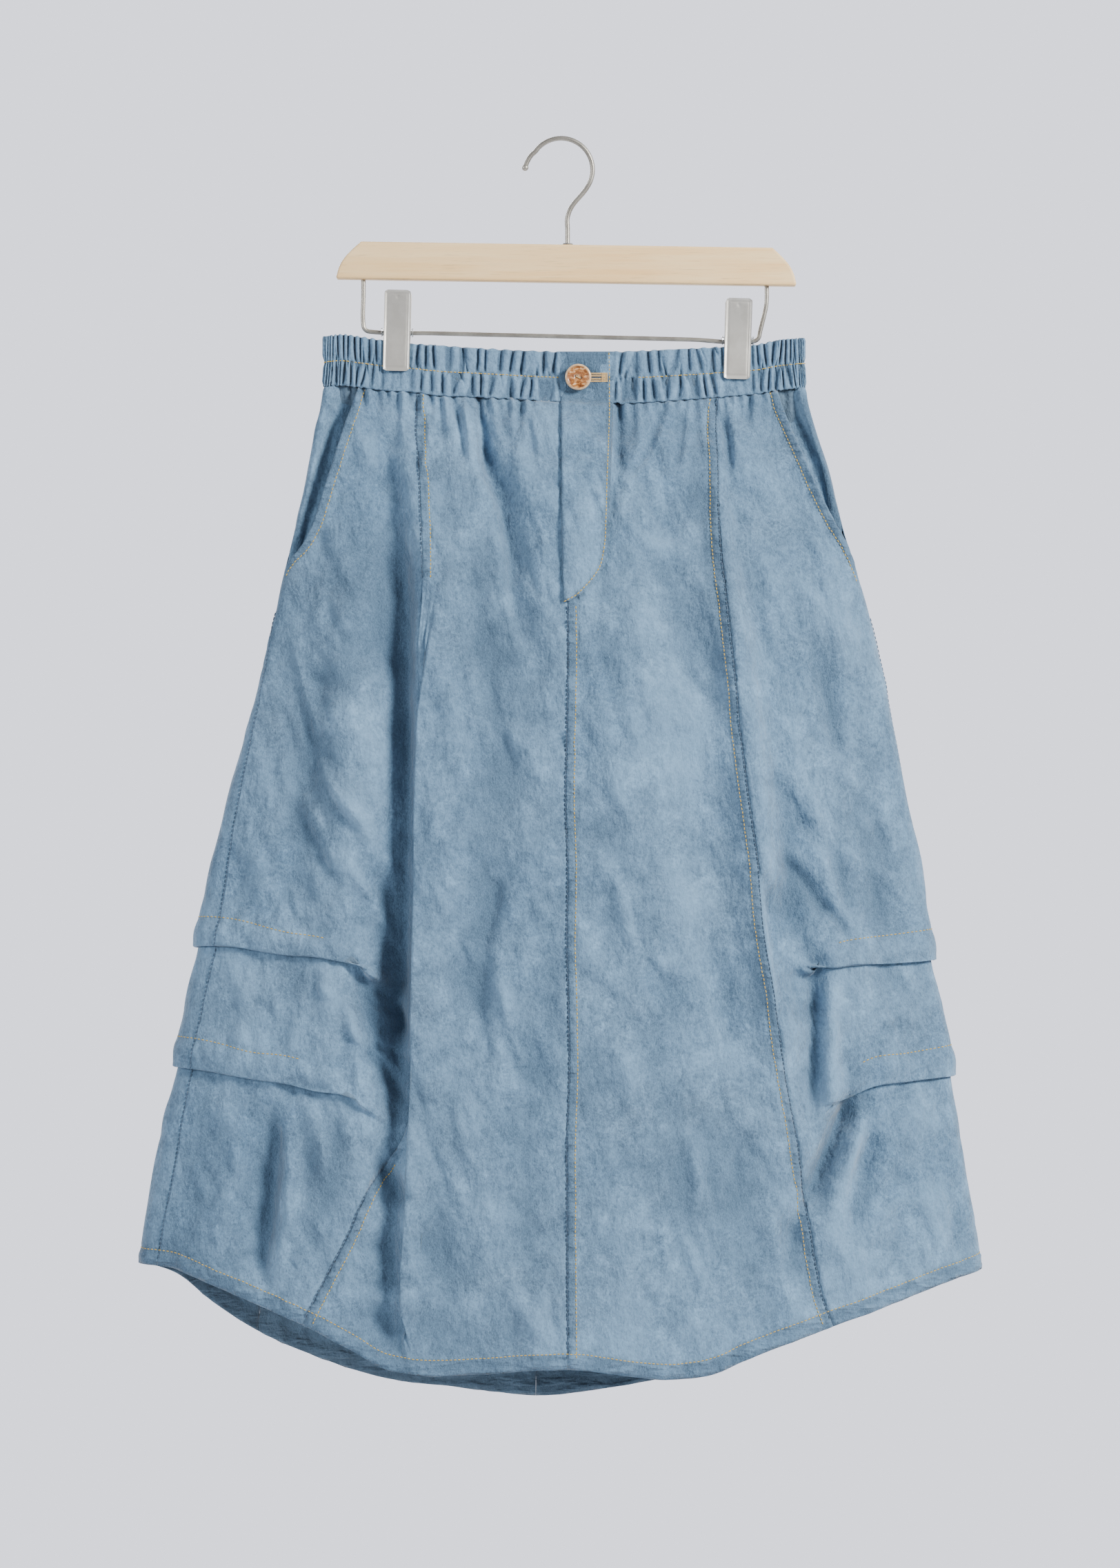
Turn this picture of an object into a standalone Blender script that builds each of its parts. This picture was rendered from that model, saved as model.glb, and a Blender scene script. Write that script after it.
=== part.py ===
"""Midi skirt hung by two clips from a wooden hanger: the construction solids, in metres, +Z up.

The origin is the inner top of the hanger's hook. The front of the skirt faces -Y and +X is to the right.
Every cloth panel is a thin wall laid on one shared form of the whole skirt. A place on that form is a turn
round the skirt (0 left edge, 0.5 mid front, 1 right edge, 1.5 mid back) and a drop below the origin.
"""
import math

import bmesh
import bpy
import numpy as np

for old in list(bpy.data.objects):
    bpy.data.objects.remove(old)

# Cloth sizes
CLOTH = 0.0010  # wall of a skirt panel
BAND_WALL = 0.0016  # wall of the doubled waistband
SEAM_GAP = 0.0003  # clear gap between neighbouring pieces
BAND_GATHER = 0.00045  # height of the small gathers in the waistband
FOLD_RADIUS = 0.0014  # outer radius of a folded edge of cloth
WAIST_EASE = 0.0011  # the panels' tops stay this far below the waistband's curved seam
POCKET_SETBACK = 0.0016  # how far the pocket backing lies behind the side panel
POCKET_GAPE = 0.0025  # how far the pocket edge stands open at its middle
POCKET_END = 0.215  # share of the way down where the pocket edge meets the side seam
FOLD_OVERLAP = 0.012  # cloth turned under at the long fold left of centre
FLAT_STEP = 0.004  # row spacing that a tuck keeps where it fades out

# Hanger sizes
HOOK_WIRE = 0.0019  # radius of the hook's wire
HOOK_RADIUS = 0.0247
RAIL_WIRE = 0.00175  # radius of the lower wire
BAR_THICK = 0.012
BAR_HEIGHT = 0.0295
BAR_HALF_TOP = 0.1610
BAR_HALF_BOTTOM = 0.1803
BAR_CENTRE = (0.0043, -0.0967)  # x and z
BAR_TILT = math.radians(0.885)  # right end lower
CLIP_WIDTH = 0.0207
CLIP_PLATE = 0.0009
CLIP_TOP = 0.0325  # above the wire's drop, along the clip
CLIP_FOOT = 0.0305
SPRING_RADIUS = 0.0036
GROMMET_RADIUS = 0.0036
GROMMET_LENGTH = 0.0040
BUTTON_RADIUS = 0.0103
BUTTON_THICK = 0.0030
BUTTON_AT = (0.0134, 0.1861)  # x and drop


class Table:
    """Rows of named columns, read in between the rows along the first column"""

    def __init__(self, names, *rows):
        self.columns = dict(zip(names.split(), np.array(rows, dtype=float).T))
        self.key = names.split()[0]

    def at(self, name, where):
        return np.interp(where, self.columns[self.key], self.columns[name])


OUTLINE = Table(
    "drop left right",
    (0.150, -0.1857, 0.1905), (0.193, -0.1864, 0.1921), (0.210, -0.1889, 0.1944), (0.225, -0.1927, 0.1987),
    (0.258, -0.1982, 0.2095), (0.300, -0.2077, 0.2196), (0.365, -0.2234, 0.2391), (0.420, -0.2366, 0.2528),
    (0.473, -0.2500, 0.2630), (0.517, -0.2625, 0.2717), (0.571, -0.2749, 0.2841), (0.625, -0.2846, 0.2900),
    (0.668, -0.2927, 0.2981), (0.733, -0.3035, 0.3073), (0.776, -0.3137, 0.3127), (0.830, -0.3240, 0.3218),
    (0.881, -0.3332, 0.3300),
)
DEPTH = Table(
    "drop edge front back",
    (0.150, 0.0032, 0.0032, 0.0032), (0.200, 0.0034, 0.0044, 0.0044), (0.225, 0.0042, 0.012, 0.012),
    (0.250, 0.0048, 0.021, 0.020), (0.300, 0.0058, 0.031, 0.029), (0.360, 0.0064, 0.040, 0.037),
    (0.430, 0.0070, 0.047, 0.044), (0.580, 0.0080, 0.057, 0.053), (0.750, 0.0095, 0.064, 0.061),
    (0.960, 0.0110, 0.068, 0.066),
)
WAIST = Table(
    "share top seam",
    (0.000, 0.1540, 0.1928), (0.035, 0.1522, 0.1922), (0.075, 0.1540, 0.1938), (0.121, 0.1566, 0.1960),
    (0.182, 0.1593, 0.1972), (0.234, 0.1606, 0.2000), (0.316, 0.1628, 0.2012), (0.491, 0.1657, 0.2049),
    (0.594, 0.1657, 0.2062), (0.772, 0.1630, 0.2027), (0.828, 0.1620, 0.2010), (0.895, 0.1605, 0.1988),
    (0.955, 0.1560, 0.1955), (1.000, 0.1552, 0.1935),
)
FRONT_HEM = Table(
    "share drop",
    (0.000, 0.8789), (0.043, 0.8818), (0.091, 0.8931), (0.141, 0.9063), (0.200, 0.9221), (0.259, 0.9417),
    (0.294, 0.9543), (0.327, 0.9588), (0.411, 0.9588), (0.481, 0.9551), (0.522, 0.9549), (0.563, 0.9583),
    (0.631, 0.9628), (0.677, 0.9594), (0.727, 0.9458), (0.808, 0.9266), (0.888, 0.9080), (0.961, 0.8908),
    (1.000, 0.8832),
)
BACK_HEM = Table(
    "share drop",
    (0.000, 0.8789), (0.049, 0.8919), (0.084, 0.9121), (0.134, 0.9354), (0.212, 0.9602), (0.288, 0.9774),
    (0.370, 0.9851), (0.474, 0.9923), (0.565, 0.9859), (0.613, 0.9802), (0.698, 0.9645), (0.786, 0.9467),
    (0.856, 0.9263), (0.926, 0.9066), (1.000, 0.8832),
)

# Seams and edges: "down" is the share of the way from waist to hem
LEFT_SIDE_SEAM = Table(
    "down turn",
    (0.00, 0.000), (0.22, 0.000), (0.32, 0.045), (0.43, 0.080), (0.54, 0.100), (0.61, 0.108), (0.78, 0.096),
    (0.86, 0.104), (1.00, 0.100),
)
RIGHT_SIDE_SEAM = Table("down turn", (0.00, 1.000), (0.22, 1.000), (0.40, 1.020), (1.00, 1.030))
LEFT_POCKET_EDGE = Table(
    "down turn",
    (0.000, 0.1745), (0.028, 0.1621), (0.054, 0.1550), (0.082, 0.1453), (0.112, 0.1337), (0.140, 0.1274),
    (0.163, 0.1185), (0.186, 0.0936), (0.215, 0.0000),
)
RIGHT_POCKET_EDGE = Table(
    "down turn",
    (0.000, 0.8425), (0.031, 0.8550), (0.058, 0.8613), (0.081, 0.8657), (0.105, 0.8745), (0.127, 0.8909),
    (0.154, 0.9172), (0.178, 0.9478), (0.215, 1.0000),
)
LEFT_PRINCESS = Table(
    "down share",
    (0.000, 0.1939), (0.065, 0.2095), (0.117, 0.2249), (0.166, 0.2393), (0.210, 0.2470), (0.280, 0.2530),
    (0.345, 0.2710), (0.437, 0.2850), (0.550, 0.2988), (0.650, 0.3060), (0.713, 0.3106), (0.755, 0.3069),
    (0.809, 0.2780), (0.847, 0.2621), (0.882, 0.2507), (0.942, 0.2266), (1.000, 0.2010),
)
LONG_FOLD = Table(
    "down share fold",
    (0.000, 0.2220, 0.0), (0.065, 0.2350, 0.0), (0.117, 0.2470, 0.0), (0.166, 0.2545, 0.0),
    (0.210, 0.2545, 0.20), (0.286, 0.2574, 0.50), (0.345, 0.2653, 0.75), (0.437, 0.2807, 1.0),
    (0.550, 0.2943, 1.0), (0.650, 0.3017, 1.0), (0.773, 0.3128, 1.0), (0.843, 0.3153, 0.8),
    (0.938, 0.3155, 0.3), (0.980, 0.3155, 0.0), (1.000, 0.3155, 0.0),
)
CENTRE_FRONT = Table(
    "down share",
    (0.000, 0.5036), (0.143, 0.4947), (0.301, 0.4935), (0.500, 0.5004), (0.726, 0.5066), (1.000, 0.5096),
)
RIGHT_PRINCESS = Table(
    "down share",
    (0.000, 0.8170), (0.048, 0.7963), (0.096, 0.7801), (0.144, 0.7698), (0.222, 0.7578), (0.336, 0.7531),
    (0.438, 0.7586), (0.524, 0.7604), (0.612, 0.7678), (0.721, 0.7793), (0.808, 0.7922), (0.895, 0.7979),
    (0.958, 0.8053), (1.000, 0.8197),
)
BACK_RIGHT_PRINCESS = Table("down share", (0.00, 0.780), (0.30, 0.765), (0.65, 0.800), (1.00, 0.850))
CENTRE_BACK = Table("down share", (0.00, 0.490), (0.50, 0.478), (1.00, 0.472))
BACK_LEFT_PRINCESS = Table("down share", (0.00, 0.215), (0.30, 0.230), (0.65, 0.190), (1.00, 0.139))

# Tucks, right round the skirt: drop of the folded edge, how far it falls below its stitches, how folded it is
UPPER_TUCK = Table(
    "turn edge fall fold",
    (-0.50, 0.6500, 0.0150, 0.0), (-0.36, 0.6460, 0.0160, 0.0), (-0.28, 0.6410, 0.0180, 1.0),
    (-0.16, 0.6360, 0.0220, 1.0), (0.000, 0.6325, 0.0235, 1.0), (0.160, 0.6320, 0.0210, 1.0),
    (0.235, 0.6376, 0.0176, 1.0), (0.267, 0.6386, 0.0160, 1.0), (0.300, 0.6422, 0.0150, 0.75),
    (0.342, 0.6450, 0.0150, 0.0), (0.500, 0.6400, 0.0150, 0.0), (0.707, 0.6355, 0.0150, 0.0),
    (0.735, 0.6446, 0.0160, 0.45), (0.750, 0.6470, 0.0180, 0.8), (0.776, 0.6454, 0.0195, 1.0),
    (0.839, 0.6442, 0.0220, 1.0), (1.000, 0.6420, 0.0240, 1.0), (1.160, 0.6450, 0.0220, 1.0),
    (1.280, 0.6500, 0.0180, 1.0), (1.360, 0.6520, 0.0160, 0.0), (1.500, 0.6500, 0.0150, 0.0),
)
LOWER_TUCK = Table(
    "turn edge fall fold",
    (-0.50, 0.7650, 0.0180, 0.0), (-0.37, 0.7570, 0.0180, 0.0), (-0.28, 0.7410, 0.0200, 1.0),
    (-0.16, 0.7310, 0.0230, 1.0), (0.000, 0.7260, 0.0238, 1.0), (0.156, 0.7294, 0.0227, 1.0),
    (0.204, 0.7333, 0.0208, 1.0), (0.257, 0.7376, 0.0215, 1.0), (0.287, 0.7424, 0.0200, 0.8),
    (0.322, 0.7448, 0.0180, 0.5), (0.365, 0.7560, 0.0150, 0.0), (0.500, 0.7550, 0.0150, 0.0),
    (0.715, 0.7525, 0.0150, 0.0), (0.744, 0.7500, 0.0180, 0.6), (0.787, 0.7396, 0.0220, 1.0),
    (0.839, 0.7362, 0.0222, 1.0), (1.000, 0.7329, 0.0243, 1.0), (1.160, 0.7370, 0.0220, 1.0),
    (1.280, 0.7460, 0.0200, 1.0), (1.370, 0.7570, 0.0180, 0.0), (1.500, 0.7650, 0.0180, 0.0),
)

# The largest soft folds of the front: a trough (below 0) or ridge from one end to the other
FRONT_FOLDS = Table(
    "x1 drop1 x2 drop2 width height",
    (-0.0635, 0.215, -0.034, 0.367, 0.026, -0.0060), (-0.130, 0.225, -0.120, 0.400, 0.030, -0.0040),
    (0.110, 0.240, 0.118, 0.560, 0.030, -0.0035), (-0.225, 0.780, -0.230, 0.870, 0.030, -0.0050),
    (0.236, 0.760, 0.195, 0.860, 0.030, -0.0060), (0.060, 0.300, 0.075, 0.820, 0.045, 0.0035),
)

# Where the rows of a panel lie between the waist and the first tuck, and below the last one
UPPER_ROWS = (0.0, 0.06, 0.14, 0.22, 0.30, 0.345, 0.38, 0.55, 0.76, 1.0)
LOWER_ROWS = (0.18, 0.55, 1.0)


def ease(value):
    """0 to 1 with a soft start and end"""
    value = np.clip(value, 0.0, 1.0)
    return value * value * (3 - 2 * value)


def turn_of(share):
    """Turn on the front for a share of the skirt's width, counted from the left edge"""
    return np.arccos(np.clip(1 - 2 * share, -1, 1)) / math.pi


def share_of(turn):
    return (1 - np.cos(math.pi * turn)) / 2


def plain(turn, drop):
    """A point of the plain skirt form, before folds"""
    left = OUTLINE.at("left", drop)
    right = OUTLINE.at("right", drop)
    edge = DEPTH.at("edge", drop)
    half = (right - left) / 2
    across = -math.cos(math.pi * turn)
    swing = math.sin(math.pi * turn)
    full = DEPTH.at("front" if swing >= 0 else "back", drop)
    inward = min(half * (1 - abs(across)), edge)
    round_end = math.sqrt(max(0.0, edge * edge - (edge - inward) ** 2))
    swell = (full - edge) * abs(swing) ** 1.7
    y = -math.copysign(round_end + swell, swing)
    return np.array(((left + right) / 2 + half * across, y, -drop))


def frame(turn, drop):
    """Outward, downward and rightward directions of the plain form"""
    step = 0.002
    rightward = plain(turn + step, drop) - plain(turn - step, drop)
    downward = plain(turn, drop + step) - plain(turn, drop - step)
    outward = np.cross(downward, rightward)
    outward /= np.linalg.norm(outward)
    return outward, downward / np.linalg.norm(downward), rightward / np.linalg.norm(rightward)


def gap_turn(turn, drop):
    """Half a seam gap, as a turn"""
    reach = np.linalg.norm(plain(turn + 0.001, drop) - plain(turn - 0.001, drop)) / 0.002
    return SEAM_GAP / 2 / reach


def hem_drop(turn):
    front = math.sin(math.pi * turn) >= 0
    return (FRONT_HEM if front else BACK_HEM).at("drop", share_of(turn))


def waist_drop(turn):
    return WAIST.at("seam", share_of(turn)) + WAIST_EASE


def down_drop(turn, down):
    top = waist_drop(turn)
    return top + (hem_drop(turn) - top) * down


def down_of(turn, drop):
    top = waist_drop(turn)
    return (drop - top) / (hem_drop(turn) - top)


def fold_chain(fold, overlap):
    """A wall that turns under, runs back and turns again: (forward, height, tilt) at its bends.

    fold 0 is flat and 1 fully folded. Heights count down from the top layer.
    """
    angle = math.pi * min(1.0, fold / 0.5)
    back = max(0.0, (fold - 0.4) / 0.6) * overlap
    chain = []
    for part in (0.0, 0.5, 1.0):
        bend = angle * part
        chain.append((FOLD_RADIUS * math.sin(bend), -FOLD_RADIUS * (1 - math.cos(bend)), bend))
    forward = chain[-1][0] + back * math.cos(angle)
    height = chain[-1][1] - back * math.sin(angle)
    for part in (1.0, 0.5, 0.0):
        bend = angle * part
        along = FOLD_RADIUS * (math.sin(angle) - math.sin(bend))
        fall = FOLD_RADIUS * (math.cos(bend) - math.cos(angle))
        chain.append((forward + along, height - fall, bend))
    return chain


def tuck_rows(tuck, turn):
    """Rows through one tuck: (drop, height, tilt)"""
    around = turn if turn <= 1.5 else turn - 2
    edge = float(tuck.at("edge", around))
    fall = float(tuck.at("fall", around))
    fold = float(tuck.at("fold", around))
    chain = fold_chain(fold, max(0.0, fall - 2 * FOLD_RADIUS))
    lift = -chain[-1][1] / 2
    loose = (1 - min(1.0, fold * 1.4))
    rows = [(edge - fall, lift, 0.0), (edge - fall / 2, lift * 1.1, 0.0)]
    for number, (forward, height, tilt) in enumerate(chain):
        drop = edge - FOLD_RADIUS + forward + loose * number * FLAT_STEP
        rows.append((drop, lift + height, tilt))
    rows.append((edge + 0.010 + loose * 0.014, -lift, 0.0))
    return rows


def column_rows(turn):
    """All rows of a panel at one turn: (drop, height, tilt)"""
    top = waist_drop(turn)
    hem = hem_drop(turn)
    upper = tuck_rows(UPPER_TUCK, turn)
    lower = tuck_rows(LOWER_TUCK, turn)
    first = upper[0][0] - 0.012
    rows = [(top + (first - top) * share, 0.0, 0.0) for share in UPPER_ROWS]
    between = (upper[-1][0] + lower[0][0]) / 2
    rows += upper + [(between, 0.0, 0.0)] + lower
    last = lower[-1][0]
    rows += [(last + (hem - last) * share, 0.0, 0.0) for share in LOWER_ROWS]
    return rows


def long_fold(down):
    """Share and strength of the long fold left of centre, with its height step"""
    share = float(LONG_FOLD.at("share", down))
    fold = float(LONG_FOLD.at("fold", down))
    chain = fold_chain(fold, FOLD_OVERLAP)
    return share, fold, chain, -chain[-1][1]


def soft_height(x, drop):
    """Height that the large soft folds add to the front"""
    total = 0.0
    folds = FRONT_FOLDS.columns
    for x1, d1, x2, d2, width, height in zip(*(folds[name] for name in folds)):
        run = np.array((x2 - x1, d2 - d1))
        to = np.array((x - x1, drop - d1))
        length = float(np.linalg.norm(run))
        along = float(to @ run) / length
        aside = abs(float(to[0] * run[1] - to[1] * run[0])) / length
        ends = ease((along + width) / width) * ease((length + width - along) / width)
        total += height * float(ends) * float(ease(1 - aside / width))
    return total * float(ease((drop - 0.205) / 0.03))


def side_level(turn, drop, under=False):
    """Height of the cloth beside the long fold: below it on its left and above it on its right"""
    if not 0 < turn < 0.5:
        return 0.0
    share, _, _, step = long_fold(float(down_of(turn, drop)))
    width = OUTLINE.at("right", drop) - OUTLINE.at("left", drop)
    reach = (share_of(turn) - share) * width
    if under:
        reach = min(0.0, reach)
    if under or reach < 0:
        return -step / 2 * float(ease(1 + reach / 0.08))
    return step / 2 * float(ease(1 - reach / 0.06))


def point(turn, drop, height, tilt=0.0, sideways=False):
    """A place on the outer face of the cloth and the direction out of the wall there"""
    outward, downward, rightward = frame(turn, drop)
    forward = -rightward if sideways else downward
    face = math.cos(tilt) * outward + math.sin(tilt) * forward
    return plain(turn, drop) + outward * height, face


def material(name, colour, roughness, metallic=0.0):
    made = bpy.data.materials.new(name)
    made.use_nodes = True
    shader = made.node_tree.nodes["Principled BSDF"]
    shader.inputs["Base Color"].default_value = (*colour, 1.0)
    shader.inputs["Roughness"].default_value = roughness
    shader.inputs["Metallic"].default_value = metallic
    return made


CLOTH_BLUE = material("blue_cloth", (0.055, 0.085, 0.125), 0.9)
WOOD = material("pale_wood", (0.62, 0.42, 0.24), 0.55)
METAL = material("satin_metal", (0.62, 0.61, 0.58), 0.32, 1.0)
SHELL = material("shell", (0.45, 0.36, 0.30), 0.3)
CLEAR = material("clear_plastic", (0.75, 0.77, 0.78), 0.25)


def add_object(name, points, faces, look):
    mesh = bpy.data.meshes.new(name)
    mesh.from_pydata([tuple(p) for p in points], [], faces)
    mesh.materials.append(look)
    mesh.shade_smooth()
    mesh.set_sharp_from_angle(angle=math.radians(40))
    made = bpy.data.objects.new(name, mesh)
    bpy.context.scene.collection.objects.link(made)
    return made


def wall(name, outer, faces_out, thickness, look):
    """A closed wall: rows and columns of outer points, moved inwards for its other face"""
    rows, columns = outer.shape[:2]
    inner = outer - faces_out * thickness
    points = np.concatenate((outer.reshape(-1, 3), inner.reshape(-1, 3)))
    below = rows * columns

    def at(row, column, layer=0):
        return layer * below + row * columns + column

    faces = []
    for row in range(rows - 1):
        for column in range(columns - 1):
            ring = ((row, column), (row + 1, column), (row + 1, column + 1), (row, column + 1))
            faces.append([at(*place) for place in ring])
            faces.append([at(*place, 1) for place in reversed(ring)])
    rim = [(0, column) for column in range(columns)]
    rim += [(row, columns - 1) for row in range(1, rows)]
    rim += [(rows - 1, column) for column in range(columns - 2, -1, -1)]
    rim += [(row, 0) for row in range(rows - 2, 0, -1)]
    for start, end in zip(rim, rim[1:] + rim[:1]):
        faces.append([at(*start), at(*end), at(*end, 1), at(*start, 1)])
    return add_object(name, points, faces, look)


def panel(name, left_line, right_line, columns, back=False, pocket=None):
    """A plain panel between two lines of turns, with its tucks folded in"""
    spread = np.linspace(0, 1, columns)
    middle_rows = column_rows(0.5)
    downs = [float(down_of(0.5, row[0])) for row in middle_rows]
    grid = []
    faces = []
    for number in range(len(downs)):
        line = []
        out = []
        for share in spread:
            turn = 0.0
            down = downs[number]
            for _ in range(4):
                left = left_line(down)
                right = right_line(down)
                left += gap_turn(left, down_drop(left, down))
                right -= gap_turn(right, down_drop(right, down))
                turn = left + (right - left) * share
                drop, height, tilt = column_rows(turn)[number]
                down = float(down_of(turn, drop))
            height += side_level(turn, drop, under=name == "front_side_left")
            if not back:
                height += soft_height(plain(turn, drop)[0], drop) * math.cos(tilt)
            if pocket is not None:
                away = share if pocket == "left" else 1 - share
                open_here = math.sin(math.pi * min(1.0, down / POCKET_END))
                height += POCKET_GAPE * open_here * float(ease(1 - away * 3))
            place, face = point(turn, drop, height, tilt)
            line.append(place)
            out.append(face)
        grid.append(line)
        faces.append(out)
    return wall(name, np.array(grid), np.array(faces), CLOTH, CLOTH_BLUE)


def folded_panel(name):
    """Front centre left: from the left princess seam, round the long fold, to the centre front seam"""
    grid = []
    faces = []
    for row_number, (middle_drop, _, _) in enumerate(column_rows(0.5)):
        down = float(down_of(0.5, middle_drop))
        seam = turn_of(LEFT_PRINCESS.at("share", down))
        for _ in range(4):
            row_drop = column_rows(seam)[row_number][0]
            seam = turn_of(LEFT_PRINCESS.at("share", float(down_of(seam, row_drop))))
        end = turn_of(CENTRE_FRONT.at("share", down))
        seam += gap_turn(seam, row_drop)
        end -= gap_turn(end, middle_drop)
        width = float(OUTLINE.at("right", row_drop) - OUTLINE.at("left", row_drop))
        here = float(down_of(seam, row_drop))
        share, fold, chain, step = long_fold(here)
        loose = 1 - min(1.0, fold * 1.4)
        places = []
        for number, (forward, height, tilt) in enumerate(chain):
            aside = FOLD_RADIUS - forward + loose * (5 - number) * 0.003
            places.append((turn_of(share + aside / width), step / 2 + height, tilt))
        inner_turn = places[-1][0]
        line = [(seam, None, 0.0), ((seam + inner_turn) / 2, None, 0.0)] + list(reversed(places))
        start = places[0][0]
        for part in (0.1, 0.28, 0.5, 0.75, 1.0):
            line.append((start + (end - start) * part, None, 0.0))
        placed = []
        for turn, height, tilt in line:
            drop = column_rows(turn)[row_number][0]
            if height is None:
                width_here = float(OUTLINE.at("right", drop) - OUTLINE.at("left", drop))
                reach = (share_of(turn) - share) * width_here
                if turn <= inner_turn:
                    height = -step / 2 * float(ease(1 - max(0.0, -reach) / 0.08))
                else:
                    height = step / 2 * float(ease(1 - reach / 0.06))
            height += soft_height(plain(turn, drop)[0], drop)
            placed.append(point(turn, drop, height, tilt, sideways=True))
        grid.append([place for place, _ in placed])
        faces.append([face for _, face in placed])
    return wall(name, np.array(grid), np.array(faces), CLOTH, CLOTH_BLUE)


def front_line(table):
    return lambda down: float(turn_of(table.at("share", down)))


def back_line(table):
    return lambda down: float(2 - turn_of(table.at("share", down)))


def turn_line(table):
    return lambda down: float(table.at("turn", down))


def pocket_or_side(pocket, side):
    """The left or right edge of a side panel: the pocket's opening, then the side seam"""
    return lambda down: float(pocket.at("turn", down) if down < POCKET_END else side.at("turn", down))


def pocket_backing(name, side):
    """The hip piece behind a pocket opening: level with the skirt outside it, set back under its edge"""
    start = 0.0 if side == "left" else 1.0
    sign = 1 if side == "left" else -1
    opening = LEFT_POCKET_EDGE if side == "left" else RIGHT_POCKET_EDGE
    grid = []
    faces = []
    for down in (0.0, 0.035, 0.082, 0.128, 0.175, 0.200, 0.222, 0.245):
        edge = abs(float(opening.at("turn", down)) - start)
        first = gap_turn(start, down_drop(start, down))
        ramp = max(first + 0.012, edge - 0.075)
        line = []
        under = max(edge, ramp + 0.02)
        outside = [first + (ramp - first) * share for share in (0.0, 0.35, 0.7, 1.0)]
        for away in outside + [ramp + 0.02, under + 0.02, under + 0.05]:
            turn = start + sign * away
            depth = (CLOTH + POCKET_SETBACK) * float(ease((away - edge + 0.075) / 0.035))
            drop = down_drop(turn, down)
            line.append(point(turn, drop, soft_height(plain(turn, drop)[0], drop) - depth))
        if side == "right":
            line.reverse()
        grid.append([place for place, _ in line])
        faces.append([face for _, face in line])
    return wall(name, np.array(grid), np.array(faces), CLOTH, CLOTH_BLUE)


# Heights of the waistband's rows, from its top edge to its seam: how strongly they are gathered
BAND_ROWS = ((0.0, 0.7), (0.26, 1.0), (0.52, 0.0), (0.76, -1.0), (1.0, -0.3))
CLIP_X = (-0.1284, 0.1385)


def waistband(name, start, end, gathers):
    """A piece of the gathered band, with a ridge and a valley for each gather"""
    columns = gathers * 2 + 1
    grid = []
    faces = []
    for part, strength in BAND_ROWS:
        line = []
        for number in range(columns):
            wander = 0.3 * math.sin(number * 1.7) + 0.2 * math.sin(number * 0.63)
            inside = 0 < number < columns - 1
            share = (number + (wander if inside else 0.0)) / (columns - 1)
            first = start + gap_turn(start, 0.175)
            last = end - gap_turn(end, 0.175)
            turn = first + (last - first) * share
            top = float(WAIST.at("top", share_of(turn)))
            seam = float(WAIST.at("seam", share_of(turn))) - SEAM_GAP / 2
            drop = top + (seam - top) * part
            x = plain(turn, drop)[0]
            at_clip = min(abs(x - clip) for clip in CLIP_X) < CLIP_WIDTH / 2 + 0.003
            size = BAND_GATHER * (0.7 + 0.3 * math.sin(number * 0.9)) * (0.1 if at_clip else 1.0)
            size *= float(ease(1 - abs(x - 0.0195) / 0.024) < 0.01)
            ridge = (1 if number % 2 else -1) * size * strength
            line.append(point(turn, drop, ridge - 0.0002))
        grid.append([place for place, _ in line])
        faces.append([face for _, face in line])
    return wall(name, np.array(grid), np.array(faces), BAND_WALL, CLOTH_BLUE)


FLY = Table(
    "drop left right",
    (0.1660, -0.0019, 0.0405), (0.1830, -0.0010, 0.0408), (0.1990, -0.0004, 0.0408), (0.2110, -0.0002, 0.0408),
    (0.2350, 0.0000, 0.0400),
    (0.2700, 0.0002, 0.0385), (0.3000, 0.0003, 0.0376), (0.3220, 0.0006, 0.0362), (0.3390, 0.0011, 0.0317),
    (0.3520, 0.0017, 0.0218), (0.3595, 0.0022, 0.0135), (0.3635, 0.0030, 0.0060),
)
FLY_WALL = 0.0012


def turn_at(x, drop):
    left = float(OUTLINE.at("left", drop))
    right = float(OUTLINE.at("right", drop))
    return float(turn_of((x - left) / (right - left)))


def cloth_height(turn, drop):
    """Height of the front's outer face near the centre, where no tuck reaches"""
    return side_level(turn, drop) + soft_height(plain(turn, drop)[0], drop)


def fly_placket(name):
    """The strip over the centre front, made from the points of the panels below it, moved out"""
    grid = []
    faces = []
    columns = FLY.columns
    for drop, left, right in zip(columns["drop"], columns["left"], columns["right"]):
        line = []
        for share in (0.0, 0.33, 0.67, 1.0):
            turn = turn_at(left + (right - left) * share, drop)
            height = cloth_height(turn, drop) + FLY_WALL + 3 * SEAM_GAP
            line.append(point(turn, drop, height))
        grid.append([place for place, _ in line])
        faces.append([face for _, face in line])
    return wall(name, np.array(grid), np.array(faces), FLY_WALL, CLOTH_BLUE)


def round_piece(name, profile, sides, look):
    """A turned ring from (radius, height) points of a closed section, about +Z"""
    points = []
    for side in range(sides):
        angle = 2 * math.pi * side / sides
        points += [(r * math.cos(angle), r * math.sin(angle), h) for r, h in profile]
    count = len(profile)
    faces = []
    for side in range(sides):
        after = (side + 1) % sides
        for k in range(count):
            n = (k + 1) % count
            faces.append([side * count + k, after * count + k, after * count + n, side * count + n])
    return add_object(name, points, faces, look)


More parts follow.
